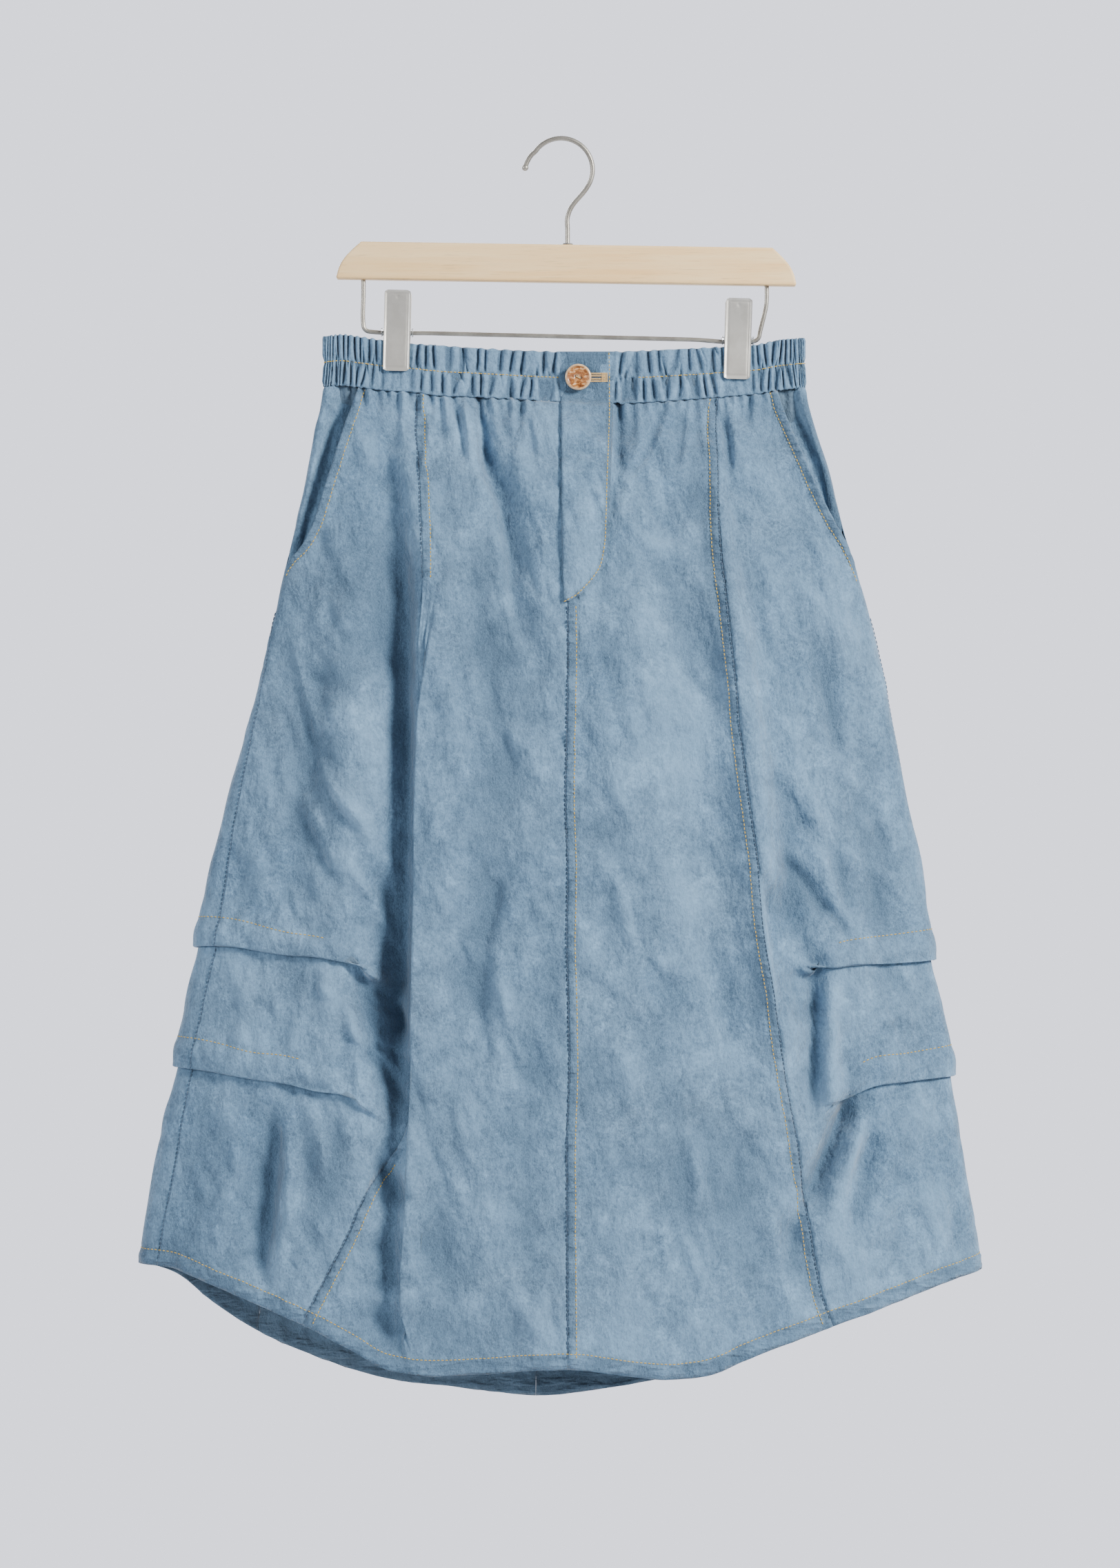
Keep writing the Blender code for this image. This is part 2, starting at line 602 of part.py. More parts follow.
def button():
    """A dished disc with a raised rim and two holes, standing on the fly"""
    outline = [(BUTTON_RADIUS * 0.86, 0.0), (BUTTON_RADIUS, BUTTON_THICK * 0.45)]
    outline += [(BUTTON_RADIUS * 0.93, BUTTON_THICK), (BUTTON_RADIUS * 0.72, BUTTON_THICK * 0.8)]
    mesh = bmesh.new()
    sides = 32
    rings = []
    for radius, height in outline:
        ring = []
        for side in range(sides):
            angle = 2 * math.pi * side / sides
            ring.append(mesh.verts.new((radius * math.cos(angle), radius * math.sin(angle), height)))
        rings.append(ring)
    mesh.faces.new(list(reversed(rings[0])))
    for lower, upper in zip(rings, rings[1:]):
        for side in range(sides):
            after = (side + 1) % sides
            mesh.faces.new((lower[side], lower[after], upper[after], upper[side]))
    mesh.faces.new(rings[-1])
    data = bpy.data.meshes.new("button")
    mesh.to_mesh(data)
    mesh.free()
    data.materials.append(SHELL)
    made = bpy.data.objects.new("button", data)
    bpy.context.scene.collection.objects.link(made)
    for number, side in enumerate((-1, 1)):
        bpy.ops.mesh.primitive_cylinder_add(vertices=12, radius=0.00095, depth=0.02)
        cutter = bpy.context.object
        cutter.name = f"button_hole_cutter_{number}"
        cutter.location = (side * 0.0018, 0.0, 0.0)
        cutter.hide_render = True
        cutter.display_type = "WIRE"
        cutter.parent = made
        cut = made.modifiers.new("hole", "BOOLEAN")
        cut.operation = "DIFFERENCE"
        cut.object = cutter
    turn = turn_at(BUTTON_AT[0], BUTTON_AT[1])
    outward, _, _ = frame(turn, BUTTON_AT[1])
    base = plain(turn, BUTTON_AT[1]) + outward * (FLY_WALL + 5 * SEAM_GAP)
    made.location = base
    made.rotation_euler = (math.radians(90) - math.atan2(outward[2], -outward[1]), 0.0, 0.0)
    return made


def bar():
    """The wooden bar: straight top and bottom, rounded ends that lean out to the bottom"""
    half = BAR_HEIGHT / 2
    right = []
    for step in range(7):
        part = step / 6
        bulge = 0.0045 * math.sin(math.pi * part)
        x = BAR_HALF_TOP + (BAR_HALF_BOTTOM - BAR_HALF_TOP) * part + bulge
        right.append((x, half - BAR_HEIGHT * part))
    outline = right + [(-x, z) for x, z in reversed(right)]
    mesh = bmesh.new()
    front = [mesh.verts.new((x, -BAR_THICK / 2, z)) for x, z in outline]
    cap = mesh.faces.new(front)
    grown = bmesh.ops.extrude_face_region(mesh, geom=[cap])
    moved = [item for item in grown["geom"] if isinstance(item, bmesh.types.BMVert)]
    bmesh.ops.translate(mesh, verts=moved, vec=(0.0, BAR_THICK, 0.0))
    bmesh.ops.recalc_face_normals(mesh, faces=mesh.faces)
    data = bpy.data.meshes.new("hanger_bar")
    mesh.to_mesh(data)
    mesh.free()
    data.materials.append(WOOD)
    made = bpy.data.objects.new("hanger_bar", data)
    bpy.context.scene.collection.objects.link(made)
    made.location = (BAR_CENTRE[0], 0.0, BAR_CENTRE[1])
    made.rotation_euler = (0.0, BAR_TILT, 0.0)
    soft = made.modifiers.new("soft edges", "BEVEL")
    soft.width = 0.0012
    soft.segments = 2
    soft.angle_limit = math.radians(40)
    return made


def drill(made, name, x, z, radius):
    """A round hole along Z in the bar, for a wire's end"""
    bpy.ops.mesh.primitive_cylinder_add(vertices=16, radius=radius, depth=0.028, location=(x, 0.0, z))
    cutter = bpy.context.object
    cutter.name = name
    cutter.hide_render = True
    cutter.display_type = "WIRE"
    cut = made.modifiers.new(name, "BOOLEAN")
    cut.operation = "DIFFERENCE"
    cut.object = cutter


def wire(name, places, radius, resolution=3):
    """A round wire through places in the XZ plane"""
    curve = bpy.data.curves.new(name, "CURVE")
    curve.dimensions = "3D"
    curve.bevel_depth = radius
    curve.bevel_resolution = resolution
    curve.use_fill_caps = True
    spline = curve.splines.new("POLY")
    spline.points.add(len(places) - 1)
    for spot, (x, z) in zip(spline.points, places):
        spot.co = (x, 0.0, z, 1.0)
    curve.materials.append(METAL)
    made = bpy.data.objects.new(name, curve)
    bpy.context.scene.collection.objects.link(made)
    return made


def arc(centre, radius, start, end, steps):
    angles = np.radians(np.linspace(start, end, steps))
    return [(centre[0] + radius * math.cos(a), centre[1] + radius * math.sin(a)) for a in angles]


HOOK_CENTRE = (0.0, -(HOOK_RADIUS - HOOK_WIRE))
SHANK_X = 0.0051
RAIL = ((-0.1549, -0.1497), (0.1555, -0.1572))  # lower corners of the wire, x and z
RAIL_ENDS = (-0.1549, 0.1612)


def rail_z(x):
    (x1, z1), (x2, z2) = RAIL
    return z1 + (z2 - z1) * (x - x1) / (x2 - x1)


def hanger():
    made = bar()
    drill(made, "shank_hole", SHANK_X, -0.0822, HOOK_WIRE + SEAM_GAP)
    for number, x in enumerate(RAIL_ENDS):
        drill(made, f"rail_hole_{number}", x, -0.1115 - 0.002 * number, RAIL_WIRE + SEAM_GAP)
    shank = [(SHANK_X, -0.0955), (SHANK_X, -0.0760), (SHANK_X, -0.0600), (SHANK_X + 0.0012, -0.0560)]
    tip = [(-0.0192, -0.0075), (-0.0236, -0.0118), (-0.0262, -0.0160), (-0.0279, -0.0200)]
    wire("hanger_hook", shank + arc(HOOK_CENTRE, HOOK_RADIUS, -34, 138, 25) + tip, HOOK_WIRE)
    (left, left_z), (right, right_z) = RAIL
    bend = 0.005
    path = [(left, -0.0995), (left, -0.1200)] + arc((left + bend, left_z + bend), bend, 180, 270, 5)
    path += arc((right - bend, right_z + bend), bend, -88, -4, 5)
    path += [(RAIL_ENDS[1], -0.1250), (RAIL_ENDS[1], -0.1015)]
    wire("hanger_rail", path, RAIL_WIRE)


def clip_plate(name, x, lean, side):
    """One leaf of a clip: open at the top, resting on the spring, closing on the waistband"""
    rest = SPRING_RADIUS + SEAM_GAP
    profile = ((CLIP_TOP, 0.0078), (0.008, rest + 0.0006), (-0.0035, rest), (-0.0115, 0.0040), (-CLIP_FOOT, 0.0039))
    half = CLIP_WIDTH / 2
    corner = 0.003
    across = ((-half, corner), (-half + corner * 0.3, corner * 0.3), (-half + corner, 0.0))
    across += ((half - corner, 0.0), (half - corner * 0.3, corner * 0.3), (half, corner))
    grid = []
    faces = []
    direction = np.array((0.0, -1.0 if side == "front" else 1.0, 0.0))
    tall = profile[0][0]
    for level, (up, reach) in enumerate(profile):
        line = []
        for aside, cut in across:
            height = up
            if level == 0:
                height = tall - cut
            if level == len(profile) - 1:
                height = -CLIP_FOOT + cut
            line.append(np.array((aside, 0.0, height)) + direction * (reach + CLIP_PLATE))
        if side == "back":
            line.reverse()
        grid.append(line)
        faces.append([direction] * len(line))
    made = wall(name, np.array(grid), np.array(faces), CLIP_PLATE, METAL)
    made.location = (x, 0.0, rail_z(x))
    made.rotation_euler = (0.0, lean, 0.0)
    return made


def tube(name, x, inner, outer, length, sides, look):
    """A ring round the lower wire"""
    half = length / 2
    profile = ((inner, -half), (outer, -half), (outer, half), (inner, half))
    made = round_piece(name, profile, sides, look)
    (x1, z1), (x2, z2) = RAIL
    slope = math.atan2(z1 - z2, x2 - x1)
    made.location = (x, 0.0, rail_z(x))
    made.rotation_euler = (0.0, math.radians(90) + slope, 0.0)
    return made


def clips():
    for label, x, lean in (("left", CLIP_X[0], math.radians(1.5)), ("right", CLIP_X[1], math.radians(1.7))):
        clip_plate(f"clip_{label}_front", x, lean, "front")
        clip_plate(f"clip_{label}_back", x, lean, "back")
        tube(f"clip_{label}_spring", x, RAIL_WIRE + SEAM_GAP, SPRING_RADIUS, 0.016, 16, METAL)
        for number, side in enumerate((-1, 1)):
            spot = x + side * (0.008 + GROMMET_LENGTH / 2 + 0.0006)
            name = f"grommet_{label}_{number}"
            tube(name, spot, RAIL_WIRE + SEAM_GAP, GROMMET_RADIUS, GROMMET_LENGTH, 14, CLEAR)


def skirt():
    left_side = turn_line(LEFT_SIDE_SEAM)
    right_side = turn_line(RIGHT_SIDE_SEAM)
    waistband("waistband_front_left", 0.0, turn_at(0.0045, 0.175), 28)
    waistband("waistband_front_right", turn_at(0.0045, 0.175), 1.0, 27)
    waistband("waistband_back", 1.0, 2.0, 55)
    folded_panel("front_centre_left")
    panel("front_centre_right", front_line(CENTRE_FRONT), front_line(RIGHT_PRINCESS), 7)
    left_edge = pocket_or_side(LEFT_POCKET_EDGE, LEFT_SIDE_SEAM)
    right_edge = pocket_or_side(RIGHT_POCKET_EDGE, RIGHT_SIDE_SEAM)
    panel("front_side_left", left_edge, front_line(LEFT_PRINCESS), 9, pocket="left")
    panel("front_side_right", front_line(RIGHT_PRINCESS), right_edge, 9, pocket="right")
    pocket_backing("pocket_backing_left", "left")
    pocket_backing("pocket_backing_right", "right")
    panel("back_side_right", right_side, back_line(BACK_RIGHT_PRINCESS), 9, back=True)
    panel("back_centre_right", back_line(BACK_RIGHT_PRINCESS), back_line(CENTRE_BACK), 6, back=True)
    panel("back_centre_left", back_line(CENTRE_BACK), back_line(BACK_LEFT_PRINCESS), 6, back=True)
    panel("back_side_left", back_line(BACK_LEFT_PRINCESS), lambda down: 2 + left_side(down), 9, back=True)
    fly_placket("fly_placket")
    button()


skirt()
hanger()
clips()
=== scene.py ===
# %% [markdown]
# # A midi skirt on a wooden clip hanger
# The CAD model gives the size, the hanger and every seam. This lesson dresses it: cloth shells with real
# folds, gathers and stitches, and materials for cotton, wood, nickel, shell and clear plastic.

# %% Tools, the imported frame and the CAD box
import itertools
import math

import bmesh
import bpy
import numpy as np
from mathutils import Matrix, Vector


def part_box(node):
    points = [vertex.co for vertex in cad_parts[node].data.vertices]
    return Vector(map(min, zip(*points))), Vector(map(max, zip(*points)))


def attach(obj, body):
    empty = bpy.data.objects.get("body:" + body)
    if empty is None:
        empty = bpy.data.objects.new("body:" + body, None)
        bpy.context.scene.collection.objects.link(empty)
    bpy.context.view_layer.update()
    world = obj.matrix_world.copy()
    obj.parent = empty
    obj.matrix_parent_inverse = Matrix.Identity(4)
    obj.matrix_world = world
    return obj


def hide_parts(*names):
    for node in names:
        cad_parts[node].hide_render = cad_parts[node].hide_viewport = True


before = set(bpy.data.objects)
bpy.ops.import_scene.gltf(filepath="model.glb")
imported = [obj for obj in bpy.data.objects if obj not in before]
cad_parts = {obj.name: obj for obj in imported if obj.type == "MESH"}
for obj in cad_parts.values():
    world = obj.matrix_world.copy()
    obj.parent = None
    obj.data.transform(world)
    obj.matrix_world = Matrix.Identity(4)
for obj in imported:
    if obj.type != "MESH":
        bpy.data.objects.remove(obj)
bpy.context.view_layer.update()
BODY = "root"


def new_object(name, data):
    """An object at the origin, linked into the scene"""
    made = bpy.data.objects.new(name, data)
    bpy.context.scene.collection.objects.link(made)
    return made


def put(shader, *settings):
    """Set sockets from pairs of a name and a value"""
    for key, value in settings:
        shader.inputs[key].default_value = value


# %% [markdown]
# The photo was taken level, from far away. Its scale at the hanger is 1850 pixels for a metre, which sets
# how far the camera looks up and down. The lights are large and soft, with the brighter one at the right.

# %% Camera, floor and light
CAMERA_DISTANCE = 3.5
PIXELS_PER_METRE = 1850.0
HOOK_PIXEL = (813.5, 204.0)
PICTURE = (1624, 2274)
SENSOR = 36.0

view_x = (PICTURE[0] / 2 - HOOK_PIXEL[0]) / PIXELS_PER_METRE
view_z = -(PICTURE[1] / 2 - HOOK_PIXEL[1]) / PIXELS_PER_METRE
camera_data = bpy.data.cameras.new("camera")
camera_data.sensor_width = SENSOR
camera_data.lens = SENSOR * CAMERA_DISTANCE * PIXELS_PER_METRE / PICTURE[1]
camera = new_object("camera", camera_data)
camera.location = (view_x, -CAMERA_DISTANCE, view_z)
camera.rotation_euler = (math.radians(90), 0, 0)
bpy.context.scene.camera = camera


def area_light(name, place, target, size, power, colour):
    """A large square lamp that looks at a target"""
    data = bpy.data.lights.new(name, "AREA")
    data.size = size
    data.energy = power
    data.color = colour
    lamp = new_object(name, data)
    lamp.location = place
    aim = np.array(target) - np.array(place)
    across = math.atan2(aim[1], aim[0]) - math.radians(90)
    lamp.rotation_euler = (math.atan2(math.hypot(aim[0], aim[1]), -aim[2]), 0.0, across)


MIDDLE = (0.0, 0.0, -0.5)
area_light("key", (2.7, -2.2, 1.2), MIDDLE, 1.0, 268, (1.0, 0.985, 0.96))
area_light("fill", (-3.0, -1.8, 0.5), MIDDLE, 1.2, 68, (0.97, 0.98, 1.0))
area_light("back", (-0.9, 3.0, 1.0), MIDDLE, 1.6, 90, (1.0, 1.0, 1.0))

FLOOR_DROP = 1.55
FLOOR_RADIUS = 1.6
floor_mesh = bmesh.new()
bmesh.ops.create_circle(floor_mesh, cap_ends=True, segments=96, radius=FLOOR_RADIUS)
bmesh.ops.translate(floor_mesh, verts=floor_mesh.verts, vec=(0, 0, -FLOOR_DROP))
floor_data = bpy.data.meshes.new("floor")
floor_mesh.to_mesh(floor_data)
floor_mesh.free()
floor = new_object("floor", floor_data)
floor_look = bpy.data.materials.new("pale_floor")
floor_look.use_nodes = True
put(floor_look.node_tree.nodes["Principled BSDF"], ("Base Color", (0.72, 0.73, 0.75, 1)), ("Roughness", 0.8))
floor_data.materials.append(floor_look)

world = bpy.data.worlds.new("studio")
world.use_nodes = True
sky = world.node_tree
sky.nodes["Background"].inputs["Color"].default_value = (0.955, 0.975, 1.10, 1)
sky_way = sky.nodes.new("ShaderNodeTexCoord")
sky_split = sky.nodes.new("ShaderNodeSeparateXYZ")
sky_light = sky.nodes.new("ShaderNodeMapRange")
sky.links.new(sky_way.outputs["Generated"], sky_split.inputs["Vector"])
sky.links.new(sky_split.outputs["Y"], sky_light.inputs["Value"])
put(sky_light, ("From Min", 0.1), ("From Max", 0.85), ("To Min", 0.27), ("To Max", 1.62))
sky.links.new(sky_light.outputs["Result"], sky.nodes["Background"].inputs["Strength"])
bpy.context.scene.world = world

# %% [markdown]
# Every seam and edge is a short table of named columns. A smooth curve runs through the rows, so a hem or a
# side has no corners that the cloth does not have. A place on the skirt is a turn round it (0 left edge,
# 0.5 mid front, 1 right edge, 1.5 mid back) and a drop below the hook. The rows are whole numbers, with
# lengths in tenths of a millimetre, and turns and shares in ten-thousandths.

# %% Tables that read smoothly between their rows
PI = math.pi


def ease(value):
    """0 to 1 with a soft start and end"""
    value = np.clip(value, 0.0, 1.0)
    return value * value * (3 - 2 * value)


class Table:
    """Rows of named columns, read along the first column on a smooth curve"""

    def __init__(self, names, *rows):
        self.names = names.split()
        self.rows = np.array(rows, dtype=float)

    def at(self, name, where):
        knots = self.rows[:, 0]
        values = self.rows[:, self.names.index(name)]
        slopes = np.gradient(values, knots)
        where = np.clip(where, knots[0], knots[-1])
        cell = np.clip(np.searchsorted(knots, where, side="right") - 1, 0, len(knots) - 2)
        step = knots[cell + 1] - knots[cell]
        t = (where - knots[cell]) / step
        start = (1 + 2 * t) * (1 - t) ** 2 * values[cell] + t * (1 - t) ** 2 * step * slopes[cell]
        end = t * t * (3 - 2 * t) * values[cell + 1] - t * t * (1 - t) * step * slopes[cell + 1]
        return start + end


def table(names, *rows):
    """A table from whole numbers"""
    return Table(names, *(np.array(rows) / 10000))


OUTLINE = table(
    "drop left right",
    (1500, -1857, 1905), (1930, -1864, 1921), (2100, -1889, 1944), (2250, -1927, 1987), (2580, -1982, 2095),
    (3000, -2077, 2196), (3650, -2234, 2391), (4200, -2366, 2528), (4730, -2500, 2630), (5170, -2625, 2717),
    (5710, -2749, 2841), (6250, -2846, 2900), (6680, -2927, 2981), (7330, -3035, 3073), (7760, -3137, 3127),
    (8300, -3240, 3218), (8810, -3332, 3300),
)
DEPTH = table(
    "drop edge front back",
    (1500, 32, 32, 32), (2000, 34, 44, 44), (2250, 42, 120, 120), (2500, 48, 210, 200),
    (3000, 58, 310, 290), (3600, 64, 400, 370), (4300, 70, 470, 440), (5800, 80, 570, 530),
    (7500, 95, 640, 610), (9600, 110, 680, 660),
)
WAIST = table(
    "share top seam",
    (0, 1540, 1928), (350, 1522, 1922), (750, 1540, 1938), (1210, 1566, 1960), (1820, 1593, 1972),
    (2340, 1606, 2000), (3160, 1628, 2012), (4910, 1657, 2049), (5940, 1657, 2062), (7720, 1630, 2027),
    (8280, 1620, 2010), (8950, 1605, 1988), (9550, 1560, 1955), (10000, 1552, 1935),
)
FRONT_HEM = table(
    "share drop",
    (0, 8789), (430, 8818), (910, 8931), (1410, 9063), (2000, 9221), (2590, 9417), (2940, 9543),
    (3270, 9588), (4110, 9588), (4810, 9551), (5220, 9549), (5630, 9583), (6310, 9628), (6770, 9594),
    (7270, 9458), (8080, 9266), (8880, 9080), (9610, 8908), (10000, 8832),
)
BACK_HEM = table(
    "share drop",
    (0, 8789), (490, 8919), (840, 9121), (1340, 9354), (2120, 9602), (2880, 9774), (3700, 9851),
    (4740, 9923), (5650, 9859), (6130, 9802), (6980, 9645), (7860, 9467), (8560, 9263), (9260, 9066),
    (10000, 8832),
)

# %% Seams and edges, where down is the share of the way from waist to hem
POCKET_END = 0.215
LEFT_SIDE_SEAM = table(
    "down turn",
    (0, 0), (2200, 0), (3200, 450), (4300, 800), (5400, 1000), (6100, 1080), (7800, 960), (8600, 1040),
    (10000, 1000),
)
RIGHT_SIDE_SEAM = table("down turn", (0, 10000), (2200, 10000), (4000, 10200), (10000, 10300))
LEFT_POCKET_EDGE = table(
    "down turn",
    (0, 1745), (280, 1621), (540, 1550), (820, 1453), (1120, 1337), (1400, 1274), (1630, 1185), (1860, 936),
    (2150, 0),
)
RIGHT_POCKET_EDGE = table(
    "down turn",
    (0, 8425), (310, 8550), (580, 8613), (810, 8657), (1050, 8745), (1270, 8909), (1540, 9172),
    (1780, 9478), (2150, 10000),
)
LEFT_PRINCESS = table(
    "down share",
    (0, 1939), (650, 2095), (1170, 2249), (1660, 2393), (2100, 2470), (2800, 2530), (3450, 2710),
    (4370, 2850), (5500, 2988), (6500, 3060), (7130, 3106), (7550, 3069), (8090, 2780), (8470, 2621),
    (8820, 2507), (9420, 2266), (10000, 2010),
)
LONG_FOLD = table(
    "down share fold",
    (0, 2220, 0), (650, 2350, 0), (1170, 2470, 0), (1660, 2545, 0), (2100, 2545, 2000), (2860, 2574, 5000),
    (3450, 2653, 7500), (4370, 2807, 10000), (5500, 2943, 10000), (6500, 3017, 10000), (7730, 3128, 10000),
    (8430, 3153, 10000), (9380, 3155, 7500), (9800, 3155, 2000), (10000, 3155, 0),
)
CENTRE_FRONT = table(
    "down share",
    (0, 5036), (1430, 4947), (3010, 4935), (5000, 5004), (7260, 5066), (10000, 5096),
)
RIGHT_PRINCESS = table(
    "down share",
    (0, 8170), (480, 7963), (960, 7801), (1440, 7698), (2220, 7578), (3360, 7531), (4380, 7586),
    (5240, 7604), (6120, 7678), (7210, 7793), (8080, 7922), (8950, 7979), (9580, 8053), (10000, 8197),
)
BACK_RIGHT_PRINCESS = table("down share", (0, 7800), (3000, 7650), (6500, 8000), (10000, 8500))
CENTRE_BACK = table("down share", (0, 4900), (5000, 4780), (10000, 4720))
BACK_LEFT_PRINCESS = table("down share", (0, 2150), (3000, 2300), (6500, 1900), (10000, 1390))

# %% [markdown]
# Two tucks are folded into each side of the skirt and sewn down along their tops. They run round the side
# seam to the back. Each fades out where its stitches stop, and there the cloth springs open.

# %% The sewn tucks: drop of the folded edge, its fall below the stitches, and how folded it is
UPPER_TUCK = table(
    "turn edge fall fold",
    (-5000, 6500, 150, 0), (-3600, 6460, 160, 0), (-2800, 6410, 180, 10000), (-1600, 6360, 220, 10000),
    (0, 6325, 235, 10000), (1600, 6320, 210, 10000), (2350, 6376, 176, 10000), (2670, 6386, 160, 10000),
    (3000, 6422, 150, 7500), (3420, 6450, 150, 0), (5000, 6400, 150, 0), (7070, 6355, 150, 0),
    (7350, 6446, 160, 4500), (7500, 6470, 180, 8000), (7760, 6454, 195, 10000), (8390, 6442, 220, 10000),
    (10000, 6420, 240, 10000), (11600, 6450, 220, 10000), (12800, 6500, 180, 10000), (13600, 6520, 160, 0),
    (15000, 6500, 150, 0),
)
LOWER_TUCK = table(
    "turn edge fall fold",
    (-5000, 7650, 180, 0), (-3700, 7570, 180, 0), (-2800, 7410, 200, 10000), (-1600, 7310, 230, 10000),
    (0, 7260, 238, 10000), (1560, 7294, 227, 10000), (2040, 7333, 208, 10000), (2570, 7376, 215, 10000),
    (2870, 7424, 200, 8000), (3220, 7448, 180, 5000), (3650, 7560, 150, 0), (5000, 7550, 150, 0),
    (7150, 7525, 150, 0), (7440, 7500, 180, 6000), (7870, 7396, 220, 10000), (8390, 7362, 222, 10000),
    (10000, 7329, 243, 10000), (11600, 7370, 220, 10000), (12800, 7460, 200, 10000), (13700, 7570, 180, 0),
    (15000, 7650, 180, 0),
)

# %% The plain form of the skirt, and the direction out of it
CLOTH = 0.0008
HEM_CLOTH = 0.0016
HEM_TURN = 0.0125
FOLD_RADIUS = 0.0011
FOLD_OVERLAP = 0.012
FLAT_STEP = 0.004
WAIST_EASE = -0.0016
WAIST_SINK = 0.0021


def turn_of(share):
    """Turn on the front for a share of the width, counted from the left edge"""
    return np.arccos(np.clip(1 - 2 * share, -1, 1)) / PI


def share_of(turn):
    return (1 - np.cos(PI * turn)) / 2


def plain(turn, drop):
    """Points of the plain form"""
    turn, drop = np.broadcast_arrays(np.asarray(turn, float), np.asarray(drop, float))
    left = OUTLINE.at("left", drop)
    right = OUTLINE.at("right", drop)
    edge = DEPTH.at("edge", drop)
    half = (right - left) / 2
    across = -np.cos(PI * turn)
    swing = np.sin(PI * turn)
    full = np.where(swing >= 0, DEPTH.at("front", drop), DEPTH.at("back", drop))
    inward = np.minimum(half * (1 - abs(across)), edge)
    round_end = np.sqrt(np.maximum(0.0, edge * edge - (edge - inward) ** 2))
    swell = (full - edge) * abs(swing) ** 1.7
    y = -np.sign(swing) * (round_end + swell)
    return np.stack(((left + right) / 2 + half * across, y, -drop), axis=-1)


def unit(vectors):
    return vectors / np.maximum(1e-12, np.linalg.norm(vectors, axis=-1, keepdims=True))


def directions(turn, drop):
    """Outward, downward and rightward unit vectors of the plain form"""
    step = 0.002
    rightward = plain(turn + step, drop) - plain(turn - step, drop)
    downward = plain(turn, drop + step) - plain(turn, drop - step)
    return unit(np.cross(downward, rightward)), unit(downward), unit(rightward)


def hem_drop(turn):
    share = share_of(turn)
    return np.where(np.sin(PI * turn) >= 0, FRONT_HEM.at("drop", share), BACK_HEM.at("drop", share))


def waist_drop(turn):
    return WAIST.at("seam", share_of(turn)) + WAIST_EASE


def down_drop(turn, down):
    top = waist_drop(turn)
    return top + (hem_drop(turn) - top) * down


def down_of(turn, drop):
    top = waist_drop(turn)
    return (drop - top) / (hem_drop(turn) - top)


# %% [markdown]
# Crumpled cotton needs many small unevennesses that never repeat. A lattice of fixed pseudo-random numbers,
# blended softly, gives the same clouds on each run, and it has no seam because it reads the place in space.

# %% Soft noise in space
def cloud(places, size, seed=0):
    """Smooth noise between -1 and 1, with lumps of a given size in metres"""
    spots = np.asarray(places) / size + seed * 17.13
    base = np.floor(spots)
    t = spots - base
    t = t * t * (3 - 2 * t)
    total = 0.0
    for corner in itertools.product((0, 1), repeat=3):
        cell = base + np.array(corner)
        key = np.sin(cell @ np.array((127.1, 311.7, 74.7))) * 43758.5453
        value = (key - np.floor(key)) * 2 - 1
        total = total + value * np.prod(np.where(np.array(corner) == 1, t, 1 - t), axis=-1)
    return total


def crumple(places):
    """Rises, dents and sharp small creases over the whole cloth, longer downward than across"""
    spots = np.asarray(places) * np.array((1.0, 1.0, 0.62))
    lean = spots + np.stack((spots[..., 2] * 0.45, 0 * spots[..., 0], 0 * spots[..., 0]), axis=-1)
    bent = lean + 0.012 * cloud(spots, 0.05, 12)[..., None]
    soft = 0.0028 * cloud(spots, 0.070, 1) + 0.0012 * cloud(bent, 0.024, 2)
    sharp = 0.0044 * abs(cloud(bent, 0.040, 3)) - 0.0032 * abs(cloud(bent, 0.021, 5))
    return soft - sharp + 0.0016 * abs(cloud(bent, 0.0105, 4))
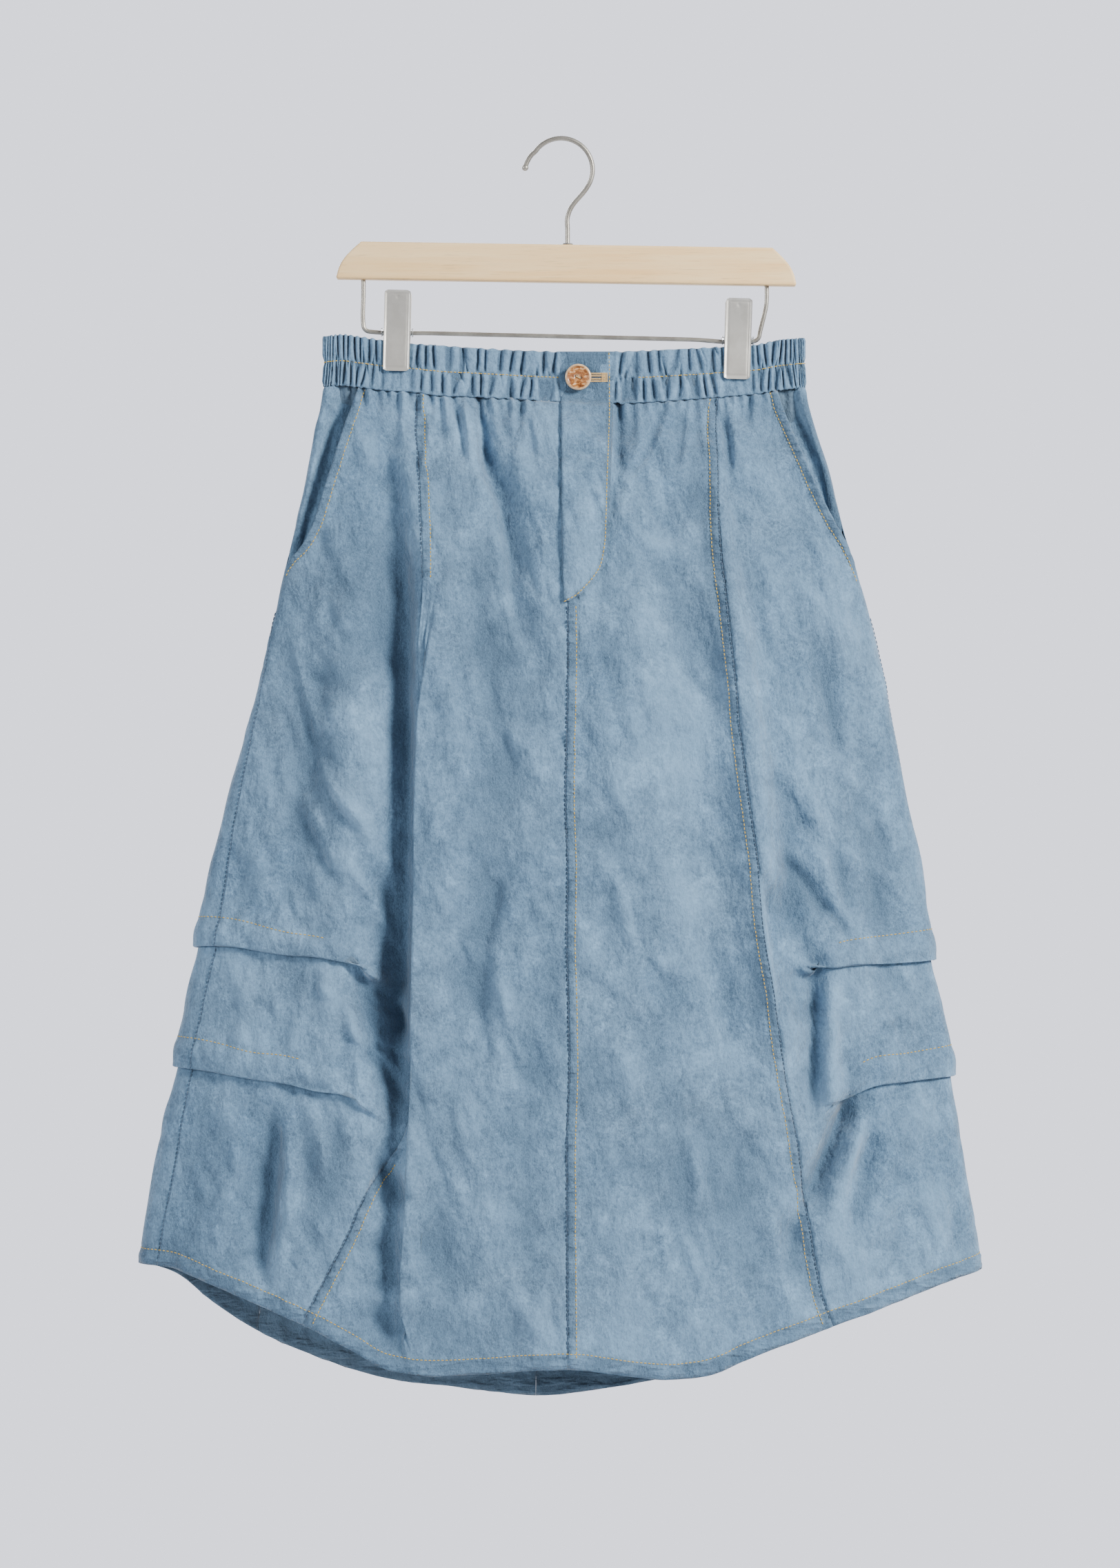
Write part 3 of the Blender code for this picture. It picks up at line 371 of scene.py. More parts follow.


# %% [markdown]
# The creases are placed one by one. Each runs from one point to another, has a half width and a height (below
# 0 for a trough), and a bow that bends it. A trough throws up a small ridge beside it, as pushed cloth does.

# %% Main creases of the front
FRONT_CREASES = table(
    "x1 drop1 x2 drop2 width height bow",
    (-640, 3000, -480, 5200, 200, -35, 0), (-850, 2060, -760, 2500, 30, -26, 30),
    (-1420, 4400, -1530, 5900, 200, 30, 100), (-1800, 4000, -2020, 5800, 180, -30, 40),
    (-2150, 4300, -2330, 5900, 120, 20, 40), (-950, 2150, -900, 3300, 100, -18, 40),
    (-800, 3800, -880, 5600, 150, 16, 80), (-450, 5700, -620, 6900, 70, -30, -60),
    (-300, 4800, -750, 6400, 140, -14, 0), (-120, 6000, -350, 8000, 160, -18, 40),
    (-750, 7000, -1000, 9000, 150, -22, -80), (-400, 7800, -700, 9300, 130, 18, 40),
    (-200, 8600, -450, 9450, 120, -14, 20), (500, 2120, 360, 3000, 60, -20, 30),
    (780, 2140, 560, 2620, 30, -26, 20), (620, 2600, 580, 4200, 150, 14, 40),
    (1080, 2400, 1160, 4300, 110, -32, 40), (1140, 4000, 1300, 6200, 110, -22, 40),
    (850, 5000, 1020, 7600, 120, 16, 60), (550, 5600, 720, 7600, 150, -15, 60),
    (950, 7600, 800, 9300, 140, -16, 60), (300, 8000, 450, 9450, 150, 14, 40),
    (1270, 6200, 1420, 7200, 70, 16, 30), (1450, 2400, 1600, 4200, 150, 22, 60),
    (1750, 3000, 2050, 5000, 170, -20, 60), (1550, 4800, 1800, 6000, 140, -24, 40),
    (2060, 5980, 2260, 6280, 40, -35, 10), (2000, 5600, 2150, 6040, 60, 24, 20),
    (2350, 5000, 2480, 6100, 120, -16, 20), (1960, 6520, 1980, 7450, 50, -50, 20),
    (2120, 6550, 2080, 7350, 80, 30, -20), (2450, 6600, 2350, 7350, 110, -20, 20),
    (2340, 7520, 1960, 8500, 80, -60, -60), (2480, 7480, 2150, 8500, 80, 35, -60),
    (1900, 8600, 1350, 9500, 110, -28, 60), (2600, 7600, 2650, 8800, 150, -16, 40),
    (2250, 8500, 2300, 9050, 100, 14, 20), (-2250, 7620, -2330, 8800, 80, -45, 30),
    (-2120, 7700, -2180, 8850, 80, 24, 30), (-1750, 7650, -1900, 8600, 90, -30, 40),
    (-2550, 7650, -2650, 8600, 110, 18, 30), (-1500, 7680, -1560, 8200, 60, 22, 30),
    (-2100, 6600, -2180, 7080, 60, -26, 20), (-1850, 6550, -1780, 7120, 70, 24, 20),
    (-1580, 6500, -1490, 7200, 60, -30, 20), (-2450, 6550, -2500, 7050, 80, 18, 20),
    (-1400, 6000, -1900, 5600, 60, -18, 40), (-1330, 6550, -1280, 7000, 50, -40, 10),
    (-1850, 6400, -1510, 7380, 70, 32, 30), (-1510, 6590, -1210, 6970, 50, -45, 20),
    (-1660, 7000, -1210, 7530, 40, -34, 30), (-1500, 7050, -1210, 7200, 32, -28, 10),
    (-1600, 6680, -1300, 6820, 35, -24, -10), (-2000, 7460, -1810, 8000, 80, 40, 20),
    (-1435, 7990, -1210, 8290, 70, -45, 20), (-1750, 5200, -1350, 6000, 60, -26, 30),
    (-1900, 4800, -1500, 5400, 50, 20, -30), (-2100, 5200, -1750, 5900, 60, -22, 30),
    (-1680, 5600, -1300, 6300, 40, 24, 20), (-1950, 3000, -1700, 3600, 60, -20, 20),
    (-1000, 5600, -600, 5000, 45, -14, 30), (-900, 6400, -400, 5600, 50, 14, 30),
    (-950, 4400, -500, 3800, 50, -16, 30), (200, 5000, 500, 5400, 50, -13, 20),
    (150, 6500, 600, 6900, 50, -14, 30), (250, 4000, 700, 4300, 50, 13, 30),
    (1700, 5600, 2050, 6050, 50, -40, 30), (1850, 5400, 2120, 5900, 60, 22, 30),
    (1600, 5000, 1950, 5500, 60, -22, 30), (2550, 8000, 2800, 8300, 50, -18, 20),
    (2500, 8400, 2750, 8150, 45, 16, 20), (2400, 7000, 2700, 6900, 45, -14, 20),
    (2000, 4000, 2150, 4800, 60, -22, 30), (1500, 3400, 1800, 4200, 60, -18, 30),
    (1250, 2150, 1320, 2600, 30, -30, 10), (950, 2120, 900, 2550, 30, -28, 10),
    (-1080, 2120, -1140, 2620, 35, -30, 10), (-280, 2120, -220, 2500, 30, -24, 10),
)

# %% Similar creases on the back, which the photo hides
BACK_CREASES = table(
    "x1 drop1 x2 drop2 width height bow",
    (-1250, 2120, -1150, 3600, 80, -45, 40), (-700, 2140, -760, 3200, 60, -32, 30),
    (-200, 2140, -50, 4000, 110, -36, 60), (450, 2140, 500, 3300, 70, -36, 30),
    (950, 2140, 1120, 4200, 120, -44, 40), (1500, 2300, 1700, 4000, 110, -26, 40),
    (-1600, 2600, -1850, 4800, 150, 28, 40), (-900, 4000, -1200, 6400, 160, -32, 60),
    (-300, 4200, -550, 7000, 170, 22, 60), (250, 4600, 450, 7200, 160, -26, 40),
    (1000, 4800, 1300, 7000, 160, 26, 40), (1900, 4200, 2150, 5900, 140, -26, 40),
    (-2000, 4300, -2300, 5900, 130, -22, 40), (-1500, 7200, -1350, 9300, 120, -36, 60),
    (-800, 7600, -950, 9600, 140, 26, 40), (100, 7800, -50, 9750, 150, -30, 40),
    (900, 7600, 1050, 9500, 140, -30, 40), (1700, 7700, 1850, 9200, 120, 28, 40),
    (2350, 7600, 2200, 8700, 90, -38, 40), (-2300, 7600, -2150, 8800, 90, -38, 40),
    (-1900, 6600, -1850, 7150, 60, -26, 20), (1950, 6650, 2000, 7200, 60, -26, 20),
)


# %% [markdown]
# The large folds run down the skirt, so each is read by its drop: where its middle lies, how wide it is to
# the left and right, and how high it stands. A narrow side next to a wide side makes a sharp fold.

# %% Large folds of the front and the back
def fold_tables(*folds):
    return [table("drop x left right height", *rows) for rows in folds]


FRONT_FOLDS = fold_tables(
    ((2120, -1380, 120, 120, 0), (2350, -1360, 140, 120, -60), (3000, -1310, 180, 120, -120),
     (3490, -1250, 180, 100, -180), (4200, -1235, 200, 85, -230), (4840, -1230, 200, 80, -210),
     (5600, -1235, 200, 80, -150), (6150, -1250, 240, 90, -180), (6600, -1270, 260, 110, -260),
     (7000, -1275, 200, 100, -200), (7450, -1285, 140, 100, -90), (8000, -1300, 160, 80, -100),
     (8600, -1320, 180, 80, -100), (9100, -1330, 180, 80, -80), (9550, -1330, 140, 80, 0)),
    ((2000, -640, 40, 50, -30), (2250, -612, 48, 100, -120), (2580, -575, 50, 140, -140),
     (2800, -492, 50, 160, -130), (3160, -408, 55, 180, -110), (3670, -343, 60, 160, -80),
     (3980, -246, 60, 120, -30), (4400, -200, 80, 120, 0)),
    ((2120, 1180, 140, 100, 0), (2600, 1170, 180, 110, 70), (3300, 1260, 220, 120, 120),
     (4000, 1370, 240, 130, 160), (4800, 1470, 260, 140, 160), (5600, 1540, 260, 140, 160),
     (6200, 1600, 260, 140, 170), (6700, 1670, 260, 140, 170), (7200, 1750, 260, 160, 80),
     (7800, 1820, 240, 180, 30), (8300, 1860, 200, 200, 0)),
    ((5700, 1530, 20, 140, 0), (5920, 1570, 28, 180, -120), (6300, 1615, 28, 200, -160),
     (6650, 1670, 28, 200, -120), (6950, 1700, 30, 180, 0)),
    ((6280, 2035, 200, 60, 0), (6500, 2020, 260, 60, -80), (6900, 1965, 280, 60, -90),
     (7300, 1945, 260, 60, -90), (7520, 1950, 160, 60, -60), (7800, 1940, 160, 80, 0)),
    ((7420, 2260, 70, 70, 0), (7570, 2220, 90, 70, -130), (7870, 2090, 100, 70, -120),
     (8250, 1900, 110, 80, -90), (8630, 1760, 120, 90, -50), (9050, 1660, 120, 100, 0)),
    ((7500, 2340, 60, 60, 0), (7680, 2310, 70, 60, 40), (7900, 2220, 70, 70, 40), (8300, 2030, 80, 80, 30),
     (8800, 1830, 80, 80, 0)),
    ((7450, 2420, 60, 80, 0), (7620, 2410, 70, 90, -80), (7850, 2360, 70, 100, -90),
     (8150, 2260, 80, 120, -50), (8600, 2100, 90, 140, 0)),
    ((2060, 620, 60, 60, 0), (2350, 690, 90, 70, -18), (2620, 765, 90, 60, -40), (2850, 810, 100, 60, -40),
     (3300, 850, 120, 80, 0)),
    ((2000, 470, 30, 40, -10), (2250, 440, 40, 50, -40), (2620, 430, 40, 70, -30), (3000, 430, 40, 80, 0)),
    ((2300, 500, 400, 180, 0), (3300, 550, 550, 240, 70), (4500, 600, 600, 280, 100),
     (5700, 680, 600, 300, 90), (7200, 800, 600, 340, 50), (9000, 900, 600, 400, 0)),
    ((2500, -1600, 120, 120, 0), (3500, -1660, 160, 160, 40), (4800, -1720, 180, 180, 50),
     (5800, -1800, 180, 180, 0)),
    ((7580, -2220, 120, 100, 0), (7900, -2260, 140, 100, -60), (8500, -2310, 140, 100, -80),
     (9000, -2340, 120, 100, 0)),
    ((7580, -1700, 100, 100, 0), (7900, -1760, 120, 120, 50), (8500, -1900, 140, 120, 40),
     (9200, -2000, 140, 120, 0)),
)
BACK_FOLDS = fold_tables(
    ((2120, -1200, 100, 100, 0), (2600, -1180, 140, 90, -60), (3800, -1250, 180, 100, -110),
     (5200, -1400, 200, 120, -90), (7000, -1550, 200, 160, -50), (8200, -1600, 200, 200, 0)),
    ((2120, 300, 60, 80, 0), (2500, 330, 60, 120, -60), (3300, 400, 70, 160, -80),
     (4300, 450, 100, 180, -30), (5000, 500, 120, 180, 0)),
    ((2300, 1150, 120, 100, 0), (3600, 1280, 180, 120, -90), (5200, 1450, 220, 140, -110),
     (6500, 1600, 220, 180, -80), (7800, 1700, 220, 200, 0)),
    ((4000, -400, 200, 200, 0), (5500, -500, 260, 240, 60), (7600, -600, 300, 280, 50),
     (9500, -700, 300, 300, 0)),
    ((7200, 1950, 100, 90, 0), (7700, 2050, 120, 90, -80), (8500, 1900, 140, 120, -60),
     (9300, 1700, 140, 140, 0)),
    ((7200, -2050, 100, 100, 0), (7800, -2000, 120, 120, -70), (8700, -1800, 140, 140, -50),
     (9400, -1600, 140, 140, 0)),
)


def fold_height(folds, x, drop):
    """Height that the large folds add at places on one side"""
    total = np.zeros_like(x)
    for fold in folds:
        aside = x - fold.at("x", drop)
        width = np.where(aside < 0, fold.at("left", drop), fold.at("right", drop))
        total += fold.at("height", drop) * np.exp(-((aside / width) ** 2))
    return total


def crease_height(creases, x, drop):
    """Height that the listed creases add at places on one side of the skirt"""
    total = np.zeros_like(x)
    for x1, d1, x2, d2, width, height, bow in creases.rows:
        length = math.hypot(x2 - x1, d2 - d1)
        ux, ud = (x2 - x1) / length, (d2 - d1) / length
        along = ((x - x1) * ux + (drop - d1) * ud) / length
        aside = (x - x1) * ud - (drop - d1) * ux - bow * np.sin(PI * np.clip(along, 0, 1))
        u = aside / width
        ends = ease((along + 0.18) / 0.36) * ease((1.18 - along) / 0.36)
        total += height * ends * (np.exp(-u * u) - 0.35 * np.exp(-(u - 1.8) ** 2))
    return total * ease((drop - 0.204) / 0.012)


# %% [markdown]
# Below the waist seam the cloth is gathered. Each gather is a short valley that runs down and dies out within
# 16 to 91 mm, so a loop places them from fixed, uneven numbers: no two are alike.

# %% Gathers below the waistband
def gather_list(first, last, spacing, seed):
    """Gathers as (x, length, depth, slant), unevenly spaced between two places"""
    rng = np.random.default_rng(seed)
    found = []
    x = first
    while x < last:
        length = 0.016 + 0.075 * rng.random() ** 2.0
        found.append((x, length, 0.0016 + 0.0026 * rng.random(), 0.36 * (rng.random() - 0.5)))
        x += spacing * (0.60 + 0.8 * rng.random())
    return found


FRONT_GATHERS = gather_list(-0.180, -0.012, 0.0088, 3) + gather_list(0.046, 0.186, 0.0088, 8)
BACK_GATHERS = gather_list(-0.182, 0.187, 0.0090, 5)


def gather_height(gathers, x, drop, top):
    """Valleys and small ridges under the waist seam"""
    total = np.zeros_like(x)
    below = drop - top
    for place, length, depth, slant in gathers:
        u = (x - place - slant * below) / (0.0026 + 0.035 * np.maximum(0, below))
        fade = ease(1 - below / length)
        total += depth * fade * (0.55 * np.exp(-((u - 1.6) ** 2)) - np.exp(-u * u))
    return total * ease((below + 0.001) / 0.003)


# %% Where each row of a panel lies, waist to hem
TUCK_STAGES = {
    "rise": (0.2, 5), "flap": (0.12, 8), "turn": (0.17, 6),
    "under": (0.25, 4), "return": (0.17, 6), "below": (0.07, 14),
}
ROWS = [("upper", s) for s in np.linspace(0, 1, 118)]
for tuck_name in ("first", "second"):
    for stage_name, (first_part, row_count) in TUCK_STAGES.items():
        ROWS += [(f"{tuck_name} {stage_name}", s) for s in np.linspace(first_part, 1, row_count)]
    if tuck_name == "first":
        ROWS += [("between", s) for s in np.linspace(0.1, 1, 10)]
ROWS += [("lower", s) for s in np.linspace(0.03, 1, 46)]
RISE = 0.020
BELOW = 0.038


def fold_turn(turn):
    """The tucks' tables run on from turn 0 to the left half of the back, as turns below 0"""
    return np.where(turn > 1.5, turn - 2, turn)


def tuck_numbers(tuck, turn):
    around = fold_turn(turn)
    edge = tuck.at("edge", around)
    fall = tuck.at("fall", around)
    fold = np.clip(tuck.at("fold", around), 0, 1)
    angle = PI * np.minimum(1, fold / 0.5)
    back = np.maximum(0, (fold - 0.4) / 0.6) * np.maximum(0, fall - 2 * FOLD_RADIUS)
    step = 2 * FOLD_RADIUS * (1 - np.cos(angle)) + back * np.sin(angle)
    flat = FLAT_STEP * (1 - np.minimum(1, fold * 1.4))
    return edge, fall, fold, angle, back, step / 2, flat


def tuck_row(tuck, stage, part, turn):
    """Drop, height and tilt of one row through a tuck"""
    edge, fall, fold, angle, back, lift, flat = tuck_numbers(tuck, turn)
    radius = FOLD_RADIUS
    top = -radius * (1 - np.cos(angle))
    far = radius * np.sin(angle) + back * np.cos(angle)
    if stage == "rise":
        return edge - fall - RISE * (1 - part), lift * 0.8 * ease(part), 0 * turn
    if stage == "flap":
        puff = lift * (0.8 + 0.2 * ease(part * 4)) + 0.0016 * fold * math.sin(PI * part) ** 1.5
        return edge - fall + (fall - radius) * part, puff, 0 * turn
    if stage == "turn":
        bend = angle * part
        drop = edge - radius + radius * np.sin(bend) + flat * 2 * part
        return drop, lift - radius * (1 - np.cos(bend)), bend
    if stage == "under":
        drop = edge - radius + radius * np.sin(angle) + back * np.cos(angle) * part + flat * (2 + part)
        return drop, lift + top - back * np.sin(angle) * part, angle
    if stage == "return":
        bend = angle * (1 - part)
        drop = edge - radius + far + radius * (np.sin(angle) - np.sin(bend)) + flat * (3 + 2 * part)
        return drop, lift + top - back * np.sin(angle) - radius * (np.cos(bend) - np.cos(angle)), bend
    start = edge - radius + far + radius * np.sin(angle) + flat * 5
    drop = start + (edge + BELOW - start) * part
    return drop, -lift * (1 - ease((drop - edge - 0.004) / (BELOW - 0.004))), 0 * turn


def row_place(kind, part, turn):
    """Drop, height and tilt of a row, at an array of turns"""
    stage = kind.split()[-1]
    if stage in TUCK_STAGES:
        return tuck_row(UPPER_TUCK if kind.startswith("first") else LOWER_TUCK, stage, part, turn)
    around = fold_turn(turn)
    upper_edge, upper_fall = UPPER_TUCK.at("edge", around), UPPER_TUCK.at("fall", around)
    lower_edge, lower_fall = LOWER_TUCK.at("edge", around), LOWER_TUCK.at("fall", around)
    if kind == "upper":
        start, end = waist_drop(turn), upper_edge - upper_fall - RISE
    elif kind == "between":
        start, end = upper_edge + BELOW, lower_edge - lower_fall - RISE
    else:
        start, end = lower_edge + BELOW, hem_drop(turn)
    return start + (end - start) * part, 0 * turn, 0 * turn


# %% [markdown]
# The centre panel laps over the left side panel in one long fold. Its section is a turn, a run back and a
# second turn. Near the waist and the hem the turns open again, so the fold starts and ends softly.

# %% The long fold left of centre
def long_fold(down):
    share = LONG_FOLD.at("share", down)
    fold = np.clip(LONG_FOLD.at("fold", down), 0, 1)
    angle = PI * np.minimum(1, fold / 0.5)
    back = np.maximum(0, (fold - 0.4) / 0.6) * FOLD_OVERLAP
    step = 2 * FOLD_RADIUS * (1 - np.cos(angle)) + back * np.sin(angle)
    return share, fold, angle, back, step


def width_at(drop):
    return OUTLINE.at("right", drop) - OUTLINE.at("left", drop)


def level(turn, drop, under):
    """Height of the cloth beside the long fold: below it on its left, above it on its right"""
    down = down_of(turn, drop)
    share, _, _, _, step = long_fold(down)
    step = step + 0.0050 * ease((down - 0.30) / 0.3) * ease((0.9 - down) / 0.2)
    reach = (share_of(turn) - share) * width_at(drop)
    low = -step / 2 * ease(1 + np.minimum(0, reach) / 0.07)
    high = step / 2 * ease(1 - np.maximum(0, reach) / 0.05)
    return np.where((turn > 0) & (turn < 0.5), np.where(under, low, high), 0.0)


def detail(turn, drop, back):
    """Creases, gathers and crumple of one side"""
    places = plain(turn, drop)
    x = places[..., 0]
    creases, gathers = (BACK_CREASES, BACK_GATHERS) if back else (FRONT_CREASES, FRONT_GATHERS)
    calm = ease((drop - 0.200) / 0.02)
    near_side = ease(np.minimum(x - OUTLINE.at("left", drop), OUTLINE.at("right", drop) - x) / 0.03)
    large = fold_height(BACK_FOLDS if back else FRONT_FOLDS, x, drop)
    total = (crease_height(creases, x, drop) + large) * near_side
    total = total + gather_height(gathers, x, drop, waist_drop(turn)) * (0.25 + 0.75 * near_side)
    hollow = np.exp(-(((x + 0.150) / 0.045) ** 2) - ((drop - 0.690) / 0.075) ** 2)
    under_band = WAIST_SINK * (1 - ease((drop - waist_drop(turn)) / 0.005))
    return total - under_band + crumple(places) * calm * (0.35 + 0.65 * near_side) * (1 + 0.9 * hollow)


# %% [markdown]
# A cloth piece is a grid of points, rows down and columns across. A second grid a cloth's thickness inside
# closes it, so it is a thin solid. Attributes keep what the material needs: how near a sewn edge a point
# lies, how deep it sits in a crease or how high on a ridge, which the material paints as shade and
# highlight, and whether it is on the wrong side of the cloth, which it paints darker as shade.

# %% Grid of points to closed cloth
def grid_normals(grid):
    down = np.gradient(grid, axis=0)
    across = np.gradient(grid, axis=1)
    return unit(np.cross(down, across))


def add_object(name, points, faces, look, attributes=None):
    mesh = bpy.data.meshes.new(name)
    mesh.vertices.add(len(points))
    mesh.vertices.foreach_set("co", np.asarray(points, dtype=np.float32).ravel())
    faces = np.asarray(faces, dtype=np.int32)
    mesh.loops.add(faces.size)
    mesh.loops.foreach_set("vertex_index", faces.ravel())
    mesh.polygons.add(len(faces))
    mesh.polygons.foreach_set("loop_start", np.arange(len(faces), dtype=np.int32) * faces.shape[1])
    mesh.update(calc_edges=True)
    mesh.validate()
    for key, values in (attributes or {}).items():
        layer = mesh.attributes.new(key, "FLOAT", "POINT")
        layer.data.foreach_set("value", np.asarray(values, dtype=np.float32).ravel())
    mesh.materials.append(look)
    mesh.shade_smooth()
    return new_object(name, mesh)


def closed_sheet(grid, inner):
    """Points and faces of a solid between an outer and an inner grid"""
    rows, columns = grid.shape[:2]
    count = rows * columns
    index = np.arange(count).reshape(rows, columns)
    a, b = index[:-1, :-1], index[1:, :-1]
    c, d = index[1:, 1:], index[:-1, 1:]
    outer_faces = np.stack((a, b, c, d), axis=-1).reshape(-1, 4)
    rim = np.concatenate((index[0, :], index[1:, -1], index[-1, -2::-1], index[-2:0:-1, 0]))
    after = np.roll(rim, -1)
    rim_faces = np.stack((rim, after, after + count, rim + count), axis=-1)
    faces = np.concatenate((outer_faces, outer_faces[:, ::-1] + count, rim_faces))
    return np.concatenate((grid.reshape(-1, 3), inner.reshape(-1, 3))), faces


def cloth_piece(name, grid, thickness, look, seam=None, tone=None):
    """A closed sheet from its outer points"""
    zero = np.zeros(grid.shape[:2])
    thickness = np.broadcast_to(np.asarray(thickness, float), zero.shape)
    points, faces = closed_sheet(grid, grid - grid_normals(grid) * thickness[..., None])
    seam = zero if seam is None else seam
    tone = zero if tone is None else tone
    attributes = {
        "seam": np.concatenate((seam.ravel(), seam.ravel())),
        "tone": np.concatenate((tone.ravel(), tone.ravel())),
        "inside": np.concatenate((zero.ravel(), zero.ravel() + 1)),
    }
    made = add_object(name, points, faces, look, attributes)
    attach(made, BODY)
    return made


# %% [markdown]
# Garment-dyed cotton is cloudy: two blues drift over it, and it is darker along sewn edges where the dye
# gathered. Troughs and creases get painted shade and raised ridges a painted highlight, thin rubbed lines
# are lighter with painted shade of their small creases beside them, and the inner faces are painted darker
# as shade. Fine fibres and a crumple too small for the mesh are bump.

# %% Material helpers
def new_material(name):
    """A material, its tree, its shader and the object coordinates"""
    made = bpy.data.materials.new(name)
    made.use_nodes = True
    tree = made.node_tree
    return made, tree, tree.nodes["Principled BSDF"], node(tree, "ShaderNodeTexCoord").outputs["Object"]


def node(tree, kind, **settings):
    made = tree.nodes.new(kind)
    for key, value in settings.items():
        if hasattr(made, key):
            setattr(made, key, value)
        else:
            made.inputs[key].default_value = value
    return made


def noise(tree, source, scale, detail_level=3.0, roughness=0.55, distortion=0.0):
    made = node(tree, "ShaderNodeTexNoise")
    put(made, ("Scale", scale), ("Detail", detail_level))
    put(made, ("Roughness", roughness), ("Distortion", distortion))
    tree.links.new(source, made.inputs["Vector"])
    return made.outputs["Fac"]


def stretch(tree, source, low, high, to_low=0.0, to_high=1.0):
    made = node(tree, "ShaderNodeMapRange")
    put(made, ("From Min", low), ("From Max", high), ("To Min", to_low), ("To Max", to_high))
    tree.links.new(source, made.inputs["Value"])
    return made.outputs["Result"]


def math_node(tree, operation, first, second):
    made = node(tree, "ShaderNodeMath", operation=operation)
    for slot_number, value in enumerate((first, second)):
        if isinstance(value, (int, float)):
            made.inputs[slot_number].default_value = value
        else:
            tree.links.new(value, made.inputs[slot_number])
    return made.outputs[0]


def mix_colour(tree, share, first, second, blend="MIX"):
    made = node(tree, "ShaderNodeMix", data_type="RGBA", blend_type=blend)
    if isinstance(share, (int, float)):
        made.inputs["Factor"].default_value = share
    else:
        tree.links.new(share, made.inputs["Factor"])
    for key, value in (("A", first), ("B", second)):
        socket = [item for item in made.inputs if item.name == key and item.type == "RGBA"][0]
        if isinstance(value, tuple):
            socket.default_value = (*value, 1.0)
        else:
            tree.links.new(value, socket)
    return [item for item in made.outputs if item.type == "RGBA"][0]


def bump(tree, height, strength, distance, normal=None):
    made = node(tree, "ShaderNodeBump")
    put(made, ("Strength", strength), ("Distance", distance))
    tree.links.new(height, made.inputs["Height"])
    if normal is not None:
        tree.links.new(normal, made.inputs["Normal"])
    return made.outputs["Normal"]


def attribute(tree, name):
    return node(tree, "ShaderNodeAttribute", attribute_name=name).outputs["Fac"]


def scaled(tree, source, scale):
    made = node(tree, "ShaderNodeMapping")
    made.inputs["Scale"].default_value = scale
    tree.links.new(source, made.inputs["Vector"])
    return made.outputs["Vector"]


def ridged(tree, source, scale):
    """Sharp wandering lines: 0 on each line and rising away from it"""
    centred = math_node(tree, "SUBTRACT", noise(tree, source, scale, 2.0, 0.5, 0.8), 0.5)
    return math_node(tree, "ABSOLUTE", centred, 0.0)


# %% The dyed cotton
BLUE_LIGHT = (0.222, 0.395, 0.585)
BLUE_MID = (0.102, 0.204, 0.328)
BLUE_WARM = (0.112, 0.192, 0.285)
BLUE_DARK = (0.030, 0.068, 0.118)


